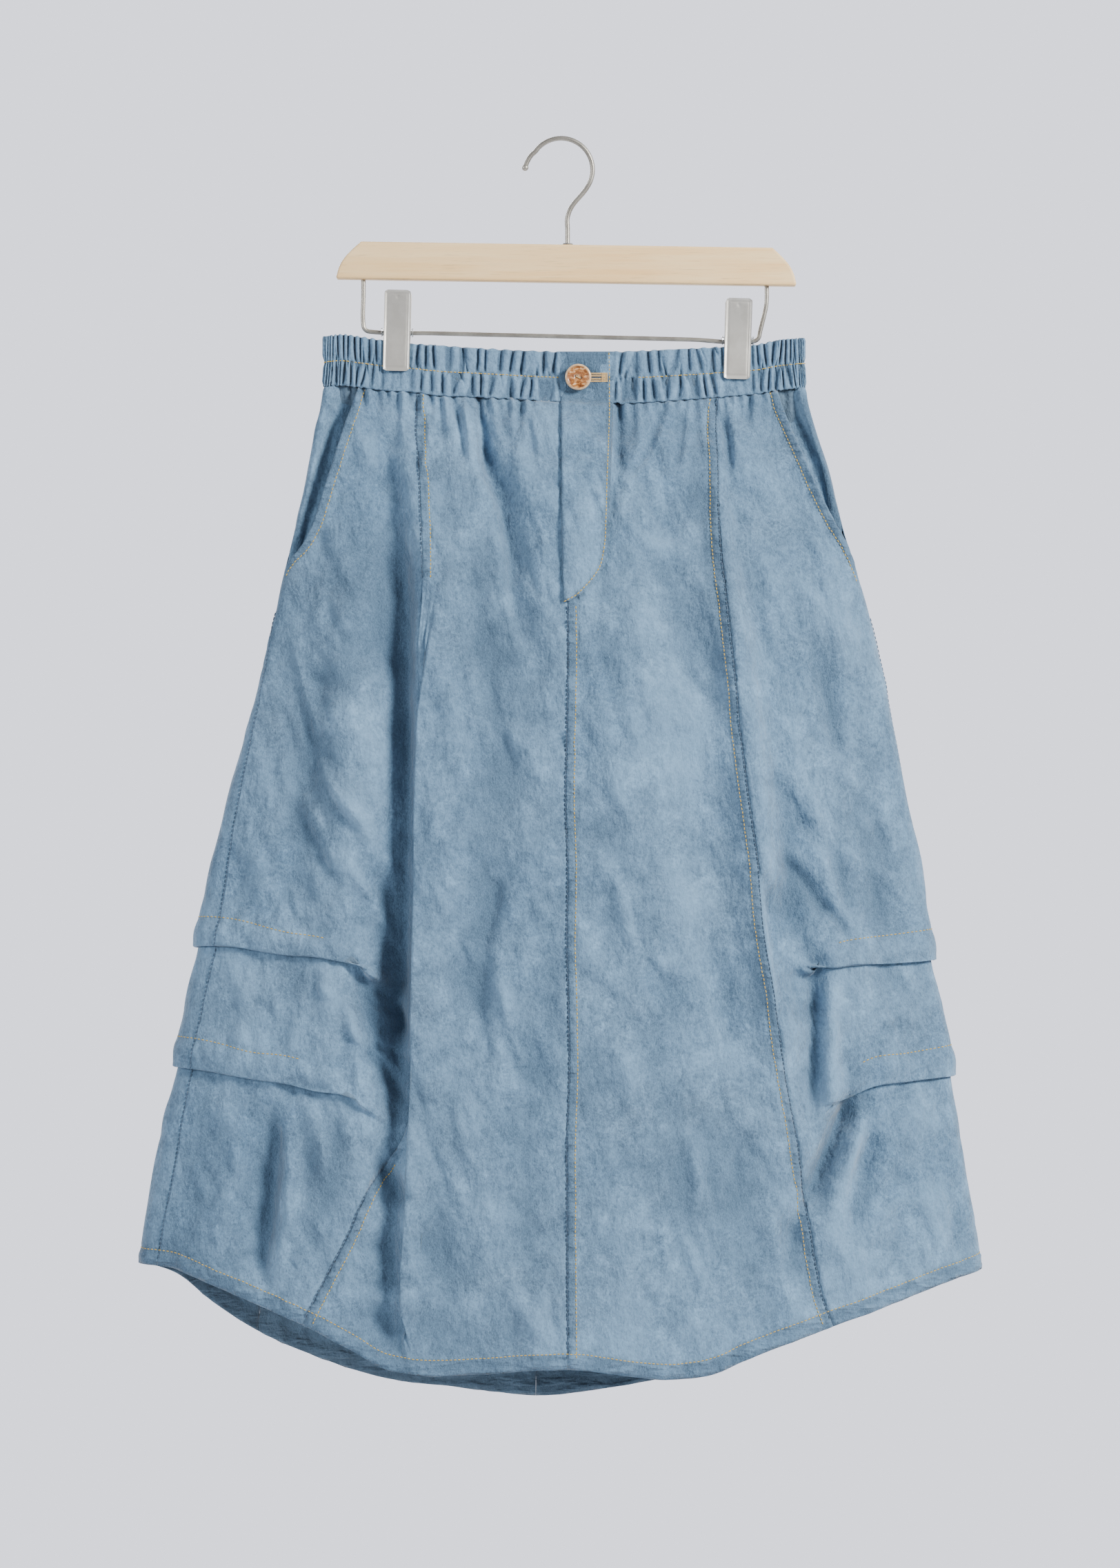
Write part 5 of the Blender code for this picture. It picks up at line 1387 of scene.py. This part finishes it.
# %% Sew the seams, pockets, tucks, hem, band and fly
sew("centre_front_stitches", [beside_edge("front_centre_right", "left", SEAM_ALLOWANCE, (0.215, 0.99))])
THREAD_ASIDE = 0.0004
THREADED = (
    ("front_centre_right", "left", (0.215, 0.99)), ("front_side_left", "right", (0.0, 0.19)),
    ("front_side_left", "right", (0.79, 0.99)), ("front_centre_right", "right", (0.0, 0.99)),
    ("front_side_left", "left", (0.24, 0.99)), ("front_side_right", "right", (0.24, 0.99)),
    ("back_centre_right", "left", (0.0, 0.99)), ("back_centre_right", "right", (0.0, 0.99)),
    ("back_centre_left", "right", (0.0, 0.99)),
)
thread_lines = [beside_edge(name, side, THREAD_ASIDE, downs, THREAD_ASIDE) for name, side, downs in THREADED]
sew("seam_thread", thread_lines, "blue", 0.0036, 0.0031, 0.00040)
sew("left_princess_stitches", [
    beside_edge("front_centre_left", "left", SEAM_ALLOWANCE, (0.002, 0.190)),
    beside_edge("front_centre_left", "left", SEAM_ALLOWANCE, (0.785, 0.995)),
])
sew("right_princess_stitches", [beside_edge("front_centre_right", "right", SEAM_ALLOWANCE, (0.002, 0.995))])
sew("pocket_stitches", [
    beside_edge("front_side_left", "left", SEAM_ALLOWANCE, (0.0, 0.205)),
    beside_edge("front_side_right", "right", SEAM_ALLOWANCE, (0.0, 0.205)),
])
sew("back_seam_stitches", [beside_edge(name, side, SEAM_ALLOWANCE, (0.002, 0.995)) for name, side in (
    ("back_centre_right", "left"), ("back_centre_right", "right"), ("back_centre_left", "right"),
)])
sew("hem_stitches", [above_hem(panel_name, HEM_TURN) for panel_name in PANELS], "gold", 0.0032)
sew("band_stitches", [
    along_row(BAND_GRIDS["waistband_front_left"], BAND_STITCH_ROW, (0, -9)),
    along_row(BAND_GRIDS["waistband_front_right"], BAND_STITCH_ROW, (69, None)),
    along_row(BAND_GRIDS["waistband_back"], BAND_STITCH_ROW),
], "gold", 0.0030)


def fly_line(distance, first=0.1665):
    """The topstitch of the fly: down its right side and round its curved end"""
    line = []
    out = grid_normals(fly_grid)
    for row in range(len(fly_grid)):
        if fly_drops[row, 0] < first:
            continue
        width = fly_right[row, 0] - fly_left[row, 0]
        final = fly_grid.shape[1] - 1
        column = (1 - min(0.95, distance / width)) * final
        low = int(column)
        spot = fly_grid[row, low] + (fly_grid[row, min(low + 1, final)] - fly_grid[row, low]) * (column - low)
        line.append(spot + out[row, low] * 0.00015)
    return np.array(line)


sew("fly_stitches", [fly_line(0.0030)], "gold", 0.0030, 0.0024, 0.00042)

# %% Tuck stitches, on the rows where the tucks are sewn down
TUCK_ENDS = {
    "front_side_left": ((0.0, 0.275), (0.0, 0.262)),
    "front_side_right": ((0.765, 1.03), (0.775, 1.03)),
    "back_side_left": ((-0.28, 0.11), (-0.28, 0.11)),
    "back_side_right": ((1.02, 1.28), (1.02, 1.28)),
}


def tuck_line(name, tuck_number):
    kind = ("first", "second")[tuck_number] + " rise"
    row = [number for number, (label, _) in enumerate(ROWS) if label == kind][-1]
    grid = PANELS[name]
    tuck = (UPPER_TUCK, LOWER_TUCK)[tuck_number]
    out = grid_normals(grid)
    line = grid[row] + out[row] * 0.00015
    x = line[:, 0]
    drop = -line[:, 2]
    share = (x - OUTLINE.at("left", drop)) / width_at(drop)
    turn = turn_of(share)
    if name.startswith("back"):
        turn = np.where(line[:, 1] > 0, -turn if name.endswith("left") else 2 - turn, turn)
    low, high = TUCK_ENDS[name][tuck_number]
    return line[(turn >= low) & (turn <= high)]


sew("tuck_stitches", [tuck_line(name, number) for name in TUCK_ENDS for number in (0, 1)], "gold", 0.0034)

# %% [markdown]
# The button is turned from shell: a shallow dish with a rounded rim and two holes, sewn on with tan thread.
# Its colours drift in soft bands of brown, pink and orange, and its rim is paler.

# %% Shell button
BUTTON_RADIUS = 0.0103
BUTTON_THICK = 0.0030
button_low, button_high = (np.array(corner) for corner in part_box("button"))
button_centre = (button_low + button_high) / 2


def shell_material():
    made, tree, shader, place = new_material("button_shell")
    waves = noise(tree, scaled(tree, place, (1.0, 1.0, 1.8)), 230.0, 4.0, 0.6)
    patches = stretch(tree, noise(tree, place, 95.0, 3.0, 0.5), 0.40, 0.60)
    ramp = node(tree, "ShaderNodeValToRGB")
    tree.links.new(stretch(tree, waves, 0.30, 0.70), ramp.inputs["Fac"])
    ramp.color_ramp.elements[0].color = (0.075, 0.022, 0.006, 1)
    ramp.color_ramp.elements[1].color = (0.90, 0.62, 0.36, 1)
    for spot, colour in ((0.35, (0.20, 0.060, 0.012, 1)), (0.6, (0.44, 0.18, 0.045, 1))):
        ramp.color_ramp.elements.new(spot).color = colour
    pinkness = math_node(tree, "MULTIPLY", patches, 0.30)
    pink = mix_colour(tree, pinkness, ramp.outputs["Color"], (0.56, 0.26, 0.14))
    rim = node(tree, "ShaderNodeVectorMath", operation="LENGTH")
    centred = node(tree, "ShaderNodeMapping")
    put(centred, ("Location", (-button_centre[0], 0.0, -button_centre[2])), ("Scale", (1.0, 0.0, 1.0)))
    tree.links.new(place, centred.inputs["Vector"])
    tree.links.new(centred.outputs["Vector"], rim.inputs[0])
    pale = stretch(tree, rim.outputs["Value"], 0.0082, 0.0096, 0.0, 0.70)
    tree.links.new(mix_colour(tree, pale, pink, (0.82, 0.60, 0.36)), shader.inputs["Base Color"])
    put(shader, ("Roughness", 0.22), ("Coat Weight", 0.6), ("Coat Roughness", 0.08))
    return made


def placed(made, centre, turn_matrix=None):
    """Bake a place into a mesh, so that the object stays at the origin"""
    points = np.empty(len(made.data.vertices) * 3)
    made.data.vertices.foreach_get("co", points)
    points = points.reshape(-1, 3)
    if turn_matrix is not None:
        points = points @ np.array(turn_matrix).T
    made.data.vertices.foreach_set("co", (points + np.array(centre)).astype(np.float32).ravel())
    made.data.update()
    return made


def mesh_object(name, mesh, look, smooth_angle=None):
    """A finished piece from a bmesh"""
    bmesh.ops.recalc_face_normals(mesh, faces=mesh.faces)
    data = bpy.data.meshes.new(name)
    mesh.to_mesh(data)
    mesh.free()
    data.materials.append(look)
    data.shade_smooth()
    if smooth_angle is not None:
        data.set_sharp_from_angle(angle=math.radians(smooth_angle))
    made = new_object(name, data)
    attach(made, BODY)
    return made


BUTTON_HOLE = 0.00095
HOLE_ASIDE, HOLE_RISE = 0.0018, 0.0007
BUTTON_SINK = 0.0002
BUTTON_DISH = 0.72
BUTTON_PROFILE = ((0.82, 0.0), (0.95, 0.12), (1.0, 0.45), (0.985, 0.78), (0.93, 0.97), (0.86, 1.0),
                  (0.79, 0.93), (0.72, 0.80), (0.60, 0.74), (0.40, BUTTON_DISH))
button_mesh = bmesh.new()
SIDES = 72
rings = []
for radius_share, height_share in BUTTON_PROFILE:
    ring = []
    for side in range(SIDES):
        angle = 2 * PI * side / SIDES
        ring.append(button_mesh.verts.new((radius_share * BUTTON_RADIUS * math.cos(angle),
                                           -height_share * BUTTON_THICK,
                                           radius_share * BUTTON_RADIUS * math.sin(angle))))
    rings.append(ring)
for inner_ring, outer_ring in zip(rings, rings[1:]):
    for side in range(SIDES):
        after = (side + 1) % SIDES
        button_mesh.faces.new((inner_ring[side], inner_ring[after], outer_ring[after], outer_ring[side]))
button_mesh.faces.new(rings[0])
button_mesh.faces.new(list(reversed(rings[-1])))
button_piece = mesh_object("shell_button", button_mesh, shell_material(), 50)
for side in (-1, 1):
    cutter_mesh = bmesh.new()
    bmesh.ops.create_cone(cutter_mesh, cap_ends=True, segments=20, radius1=BUTTON_HOLE, radius2=BUTTON_HOLE,
                          depth=0.02)
    cutter_data = bpy.data.meshes.new("hole_cutter")
    cutter_mesh.to_mesh(cutter_data)
    cutter_mesh.free()
    cutter = new_object("hole_cutter", cutter_data)
    cutter.location = (side * HOLE_ASIDE, 0, -side * HOLE_RISE)
    cutter.rotation_euler = (math.radians(90), 0, 0)
    cut = button_piece.modifiers.new("hole", "BOOLEAN")
    cut.object = cutter
    bpy.context.view_layer.update()
    cut_mesh = real_mesh(button_piece)
    button_piece.modifiers.clear()
    button_piece.data = cut_mesh
    bpy.data.objects.remove(cutter)
placed(button_piece, (button_centre[0], button_high[1] - BUTTON_SINK, button_centre[2]))
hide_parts("button")

# %% Threads of the button and the buttonhole
def thread_bar(points, radius, look, name):
    """A closed tube of thread through points"""
    curve = bpy.data.curves.new(name, "CURVE")
    curve.dimensions = "3D"
    curve.bevel_depth = radius
    curve.bevel_resolution = 2
    curve.use_fill_caps = True
    spline = curve.splines.new("POLY")
    spline.points.add(len(points) - 1)
    for spot, place in zip(spline.points, points):
        spot.co = (*place, 1.0)
    holder = new_object(name, curve)
    mesh = real_mesh(holder)
    bpy.data.objects.remove(holder)
    mesh.materials.clear()
    mesh.materials.append(look)
    mesh.shade_smooth()
    made = new_object(name, mesh)
    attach(made, BODY)
    return made


button_face = button_high[1] - BUTTON_SINK - BUTTON_THICK * BUTTON_DISH
for number, shift in enumerate((-0.00035, 0.00035)):
    ends = []
    for side in (-1, 1):
        along, up = button_centre[0] + side * HOLE_ASIDE, button_centre[2] - side * HOLE_RISE + shift
        ends.append((along, button_face, up))
    middle = np.mean(ends, axis=0) - np.array((0, 0.0005, 0))
    left_end, right_end = np.array(ends[0]), np.array(ends[1])
    path = [left_end + (0, 0.0012, 0), left_end - (0, 0.0002, 0), middle]
    path += [right_end - (0, 0.0002, 0), right_end + (0, 0.0012, 0)]
    thread_bar(path, 0.00028, TAN_THREAD, f"button_thread_{number}")


def on_fly(x, drop, lift):
    """A place on the fly's outer face"""
    row = int(np.argmin(abs(fly_drops[:, 0] - drop)))
    final = fly_grid.shape[1] - 1
    column = int(round((x - fly_left[row, 0]) / (fly_right[row, 0] - fly_left[row, 0]) * final))
    spot = fly_grid[row, max(0, min(final, column))].copy()
    spot[0] = x
    spot[2] = -drop
    spot[1] -= lift
    return spot


HOLE_LEFT, HOLE_RIGHT, HOLE_DROP = 0.0215, 0.0345, 0.1858
STITCH_HALF = 0.0009
bars = []
for row_side in (-1, 1):
    for step in np.linspace(HOLE_LEFT, HOLE_RIGHT, 26):
        drop = HOLE_DROP + row_side * 0.0021
        upper_end = on_fly(step, drop - STITCH_HALF, 0.0003)
        bars.append(np.array([upper_end, on_fly(step + 0.0001, drop + STITCH_HALF, 0.0003)]))
for step in np.linspace(-0.0034, 0.0034, 12):
    ends = [on_fly(HOLE_RIGHT + aside, HOLE_DROP + step, 0.0005) for aside in (-0.0022, 0.0014)]
    bars.append(np.array(ends))
sew("buttonhole_stitches", bars, "tan", 0.0012, 0.0016, 0.0003)
# A dark blue thread tube along the slit is painted shade of the cut
slit = [on_fly(HOLE_LEFT, HOLE_DROP, 0.0001), on_fly(HOLE_RIGHT - 0.002, HOLE_DROP, 0.0001)]
thread_bar(slit, 0.0003, BLUE_THREAD, "buttonhole_slit")

# %% [markdown]
# The hanger's bar is pale maple under thin lacquer. Long grain runs along it, so the noise is stretched
# along X. The clips are satin nickel, the hook, the lower wire and the springs are darker steel wire, and the
# grommets are clear plastic.

# %% Wood, nickel and clear plastic
def wood_material():
    made, tree, shader, place = new_material("pale_maple")
    grain = noise(tree, scaled(tree, place, (5.0, 60.0, 95.0)), 1.6, 6.0, 0.62)
    broad = noise(tree, scaled(tree, place, (3.0, 14.0, 22.0)), 1.0, 3.0, 0.5)
    pores = noise(tree, scaled(tree, place, (50.0, 700.0, 900.0)), 1.0, 2.0, 0.5)
    tone = mix_colour(tree, stretch(tree, grain, 0.38, 0.66), (0.99, 0.72, 0.38), (0.93, 0.60, 0.27))
    tone = mix_colour(tree, stretch(tree, broad, 0.40, 0.65, 0.0, 0.5), tone, (1.00, 0.80, 0.47))
    tone = mix_colour(tree, stretch(tree, pores, 0.60, 0.74, 0.0, 0.35), tone, (0.46, 0.28, 0.14))
    tree.links.new(tone, shader.inputs["Base Color"])
    put(shader, ("Roughness", 0.50), ("Specular IOR Level", 0.30))
    put(shader, ("Coat Weight", 0.08), ("Coat Roughness", 0.3))
    tree.links.new(bump(tree, grain, 0.12, 0.0003), shader.inputs["Normal"])
    return made


def metal_material(name, light, dark):
    made, tree, shader, place = new_material(name)
    smudge = noise(tree, place, 60.0, 4.0, 0.6)
    grit = noise(tree, place, 2600.0, 2.0, 0.5)
    tone = mix_colour(tree, stretch(tree, smudge, 0.40, 0.62), dark, light)
    tree.links.new(tone, shader.inputs["Base Color"])
    shader.inputs["Metallic"].default_value = 0.85
    tree.links.new(stretch(tree, grit, 0.3, 0.7, 0.40, 0.52), shader.inputs["Roughness"])
    tree.links.new(bump(tree, grit, 0.15, 0.0001), shader.inputs["Normal"])
    return made


def clear_material():
    made, tree, shader, place = new_material("clear_grommet")
    haze = noise(tree, place, 300.0, 3.0, 0.5)
    tree.links.new(stretch(tree, haze, 0.3, 0.7, 0.10, 0.22), shader.inputs["Roughness"])
    put(shader, ("Base Color", (0.90, 0.92, 0.93, 1)), ("Transmission Weight", 0.85), ("IOR", 1.45))
    return made


NICKEL = metal_material("satin_nickel", (0.80, 0.78, 0.72), (0.70, 0.68, 0.62))
STEEL = metal_material("steel_wire", (0.46, 0.44, 0.39), (0.34, 0.32, 0.28))

# %% The wooden bar
def about_y(angle):
    """A turn about the Y axis"""
    cosine, sine = math.cos(angle), math.sin(angle)
    return np.array(((cosine, 0, sine), (0, 1, 0), (-sine, 0, cosine)))


BAR_HALF_TOP, BAR_HALF_BOTTOM, BAR_HEIGHT, BAR_THICK = 0.1610, 0.1803, 0.0295, 0.012
BAR_TILT = math.radians(0.885)
bar_mesh = bmesh.new()
outline = []
for part in np.linspace(0, 1, 15):
    bulge = 0.0045 * math.sin(PI * part)
    half = BAR_HALF_TOP + (BAR_HALF_BOTTOM - BAR_HALF_TOP) * part + bulge
    outline.append((half, BAR_HEIGHT * (0.5 - part)))
outline += [(-x, z) for x, z in reversed(outline)]
front_face = bar_mesh.faces.new([bar_mesh.verts.new((x, -BAR_THICK / 2, z)) for x, z in outline])
grown = bmesh.ops.extrude_face_region(bar_mesh, geom=[front_face])
grown_points = [v for v in grown["geom"] if isinstance(v, bmesh.types.BMVert)]
bmesh.ops.translate(bar_mesh, verts=grown_points, vec=(0, BAR_THICK, 0))
bar_piece = mesh_object("wooden_bar", bar_mesh, wood_material())
soft_edge = bar_piece.modifiers.new("rounded edges", "BEVEL")
soft_edge.width = 0.0022
soft_edge.segments = 4
soft_edge.angle_limit = math.radians(50)
bar_done = real_mesh(bar_piece)
bar_piece.modifiers.clear()
bar_piece.data = bar_done
bar_done.shade_smooth()
bar_done.set_sharp_from_angle(angle=math.radians(55))
placed(bar_piece, (0.0043, 0.0, -0.0967), about_y(BAR_TILT))
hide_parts("hanger_bar")

# %% Hook, lower wire and the ball at the hook's tip
HOOK_WIRE, HOOK_RADIUS, RAIL_WIRE = 0.0019, 0.0247, 0.00175
SHANK_X = 0.0051
RAIL = ((-0.1549, -0.1497), (0.1555, -0.1572))


def smooth_wire(name, places, radius, replaced):
    """A wire that runs smoothly through places in the XZ plane"""
    places = np.array(places)
    steps = np.concatenate(((0,), np.cumsum(np.linalg.norm(np.diff(places, axis=0), axis=1))))
    fine = np.linspace(0, steps[-1], int(steps[-1] / 0.0012))
    xs = Table("s v", *zip(steps, places[:, 0])).at("v", fine)
    zs = Table("s v", *zip(steps, places[:, 1])).at("v", fine)
    made = thread_bar([(x, 0.0, z) for x, z in zip(xs, zs)], radius, STEEL, name)
    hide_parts(replaced)


def arc(centre, radius, start, end, steps):
    angles = np.radians(np.linspace(start, end, steps))
    return [(centre[0] + radius * math.cos(a), centre[1] + radius * math.sin(a)) for a in angles]


def rail_z(x):
    (x1, z1), (x2, z2) = RAIL
    return z1 + (z2 - z1) * (x - x1) / (x2 - x1)


shank = [(SHANK_X, -0.0840), (SHANK_X, -0.0700), (SHANK_X, -0.0600), (SHANK_X + 0.0012, -0.0560)]
hook_tip = [(-0.0192, -0.0075), (-0.0236, -0.0118), (-0.0262, -0.0160), (-0.0279, -0.0200)]
hook_round = arc((0, -(HOOK_RADIUS - HOOK_WIRE)), HOOK_RADIUS, -34, 138, 25)
smooth_wire("hook_wire", shank + hook_round + hook_tip, HOOK_WIRE, "hanger_hook")
BEND = 0.005
rail_path = [(RAIL[0][0], -0.1075), (RAIL[0][0], -0.1200)]
rail_path += arc((RAIL[0][0] + BEND, RAIL[0][1] + BEND), BEND, 180, 270, 8)
rail_path += [(x, rail_z(x)) for x in (-0.10, 0.0, 0.10)]
rail_path += arc((RAIL[1][0] - BEND, RAIL[1][1] + BEND), BEND, -88, -4, 8)
rail_path += [(0.1612, -0.1250), (0.1612, -0.1120)]
smooth_wire("lower_wire", rail_path, RAIL_WIRE, "hanger_rail")


ball_mesh = bmesh.new()
bmesh.ops.create_uvsphere(ball_mesh, u_segments=28, v_segments=18, radius=0.0026)
placed(mesh_object("hook_tip_ball", ball_mesh, STEEL), (-0.0281, 0.0, -0.0212))


def turned(name, profile, look, sides=40):
    """A closed ring turned about Z from (radius, height) points"""
    mesh = bmesh.new()
    loops = []
    for side in range(sides):
        angle = 2 * PI * side / sides
        loops.append([mesh.verts.new((r * math.cos(angle), r * math.sin(angle), h)) for r, h in profile])
    for side in range(sides):
        after = (side + 1) % sides
        for k in range(len(profile)):
            n = (k + 1) % len(profile)
            mesh.faces.new((loops[side][k], loops[after][k], loops[after][n], loops[side][n]))
    return mesh_object(name, mesh, look, 40)


COLLAR_PROFILE = ((0.0021, 0.0), (0.0042, 0.0), (0.0046, 0.0006), (0.0040, 0.0016), (0.0021, 0.0018))
placed(turned("hook_collar", COLLAR_PROFILE, STEEL), (SHANK_X, 0.0, -0.0823))

# %% [markdown]
# Each clip is two bent nickel leaves with a rolled rim, pressed together by a coiled spring on the wire. A
# leaf is a grid bent along its length, with the rim standing a little proud. The spring is a helix.

# %% Clips
CLIP_TOP, CLIP_FOOT, CLIP_PLATE = 0.0325, 0.0305, 0.0009
SPRING_RADIUS = 0.0036
CLIP_BEND = Table(
    "up reach",
    (-CLIP_FOOT, 0.0039), (-0.0115, 0.0040), (-0.0035, SPRING_RADIUS + 0.0003),
    (0.008, SPRING_RADIUS + 0.0009), (CLIP_TOP, 0.0078),
)


def clip_leaf(name, x, lean, side, replaced):
    rows, columns = 56, 30
    half = CLIP_WIDTH / 2
    up = np.linspace(CLIP_TOP, -CLIP_FOOT, rows)[:, None]
    across = np.linspace(-1, 1, columns)[None, :]
    corner = 0.0026
    from_end = np.minimum(CLIP_TOP - up, up + CLIP_FOOT)
    rounded = corner - np.sqrt(np.maximum(0, corner ** 2 - (corner - from_end) ** 2))
    cut = np.where(from_end < corner, rounded, 0.0)
    xs = across * (half - cut)
    reach = CLIP_BEND.at("reach", up) + CLIP_PLATE + 0 * xs
    rim = np.minimum(half - abs(xs), from_end)
    groove = 0.00025 * np.exp(-(((rim - 0.0022) / 0.0006) ** 2))
    reach = reach + 0.00055 * ease((0.0016 - rim) / 0.0010) - groove
    dimple = np.hypot(xs, up - (CLIP_TOP - 0.0052))
    reach = reach - 0.00045 * np.exp(-((dimple / 0.0012) ** 2))
    sign = -1.0 if side == "front" else 1.0
    grid = np.stack((xs, sign * reach, up + 0 * xs), axis=-1)
    if side == "back":
        grid = grid[:, ::-1]
    normals = np.broadcast_to(np.array((0.0, sign, 0.0)), grid.shape)
    made = plate_solid(name, grid, CLIP_PLATE, normals, NICKEL)
    placed(made, (x, 0.0, rail_z(x)), about_y(lean))
    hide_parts(replaced)


def plate_solid(name, grid, thickness, normals, look):
    """A closed plate from a grid of outer points"""
    points, faces = closed_sheet(grid, grid - normals * thickness)
    made = add_object(name, points, faces, look)
    made.data.set_sharp_from_angle(angle=math.radians(60))
    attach(made, BODY)
    return made


def spring(name, x, replaced):
    turns, wire_radius, length = 8, 0.00055, 0.0150
    path = []
    for step in range(turns * 18 + 1):
        angle = 2 * PI * step / 18
        along = -length / 2 + length * step / (turns * 18)
        radius = SPRING_RADIUS - wire_radius
        path.append((x + along, radius * math.cos(angle), rail_z(x + along) + radius * math.sin(angle)))
    made = thread_bar(path, wire_radius, STEEL, name)
    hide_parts(replaced)


GROMMET_PROFILE = ((0.00205, -0.0020), (0.0033, -0.0020), (0.0036, -0.0015), (0.0028, -0.0006),
                   (0.0028, 0.0006), (0.0036, 0.0015), (0.0033, 0.0020), (0.00205, 0.0020))
ALONG_WIRE = ((0, 0, 1), (0, 1, 0), (-1, 0, 0))
CLEAR = clear_material()
for clip_side, clip_x, clip_degrees in (("left", CLIP_X[0], 1.5), ("right", CLIP_X[1], 1.7)):
    clip_lean = math.radians(clip_degrees)
    clip_leaf(f"clip_{clip_side}_front_leaf", clip_x, clip_lean, "front", f"clip_{clip_side}_front")
    clip_leaf(f"clip_{clip_side}_back_leaf", clip_x, clip_lean, "back", f"clip_{clip_side}_back")
    spring(f"clip_{clip_side}_coil", clip_x, f"clip_{clip_side}_spring")
    for number, side in enumerate((-1, 1)):
        spot = clip_x + side * 0.0106
        grommet = turned(f"clear_grommet_{clip_side}_{number}", GROMMET_PROFILE, CLEAR)
        placed(grommet, (spot, 0.0, rail_z(spot)), ALONG_WIRE)
        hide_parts(f"grommet_{clip_side}_{number}")

# %% [markdown]
# Each cloth piece's cut size is listed, with the area of its cloth printed beside it. The cut of a gathered
# or tucked piece is larger than what shows, and its flat area is what the shell measures without its
# thickness.

# %% Cut sizes of the cloth
CUTS = {
    "front_centre_left": (0.225, 0.80, 0.130), "front_centre_right": (0.215, 0.78, 0.130),
    "front_side_left": (0.215, 0.84, 0.115), "front_side_right": (0.215, 0.84, 0.115),
    "back_side_left": (0.240, 0.86, 0.120), "back_side_right": (0.230, 0.86, 0.120),
    "back_centre_left": (0.235, 0.82, 0.130), "back_centre_right": (0.245, 0.82, 0.130),
    "pocket_backing_left": (0.045, 0.190, 0.0064), "pocket_backing_right": (0.045, 0.190, 0.0064),
    "waistband_front_left": (0.240, 0.040, None), "waistband_front_right": (0.235, 0.040, None),
    "waistband_back": (0.480, 0.040, None), "fly_placket": (0.042, 0.198, None),
}
for cut_name, (cut_width, cut_length, cut_area) in CUTS.items():
    cloth_object = bpy.data.objects[cut_name + "_cloth"]
    layers = sum(polygon.area for polygon in cloth_object.data.polygons)
    print(cut_name, "cloth", round(layers / 2, 4), "of", round(cut_width * cut_length, 4), "square metres")
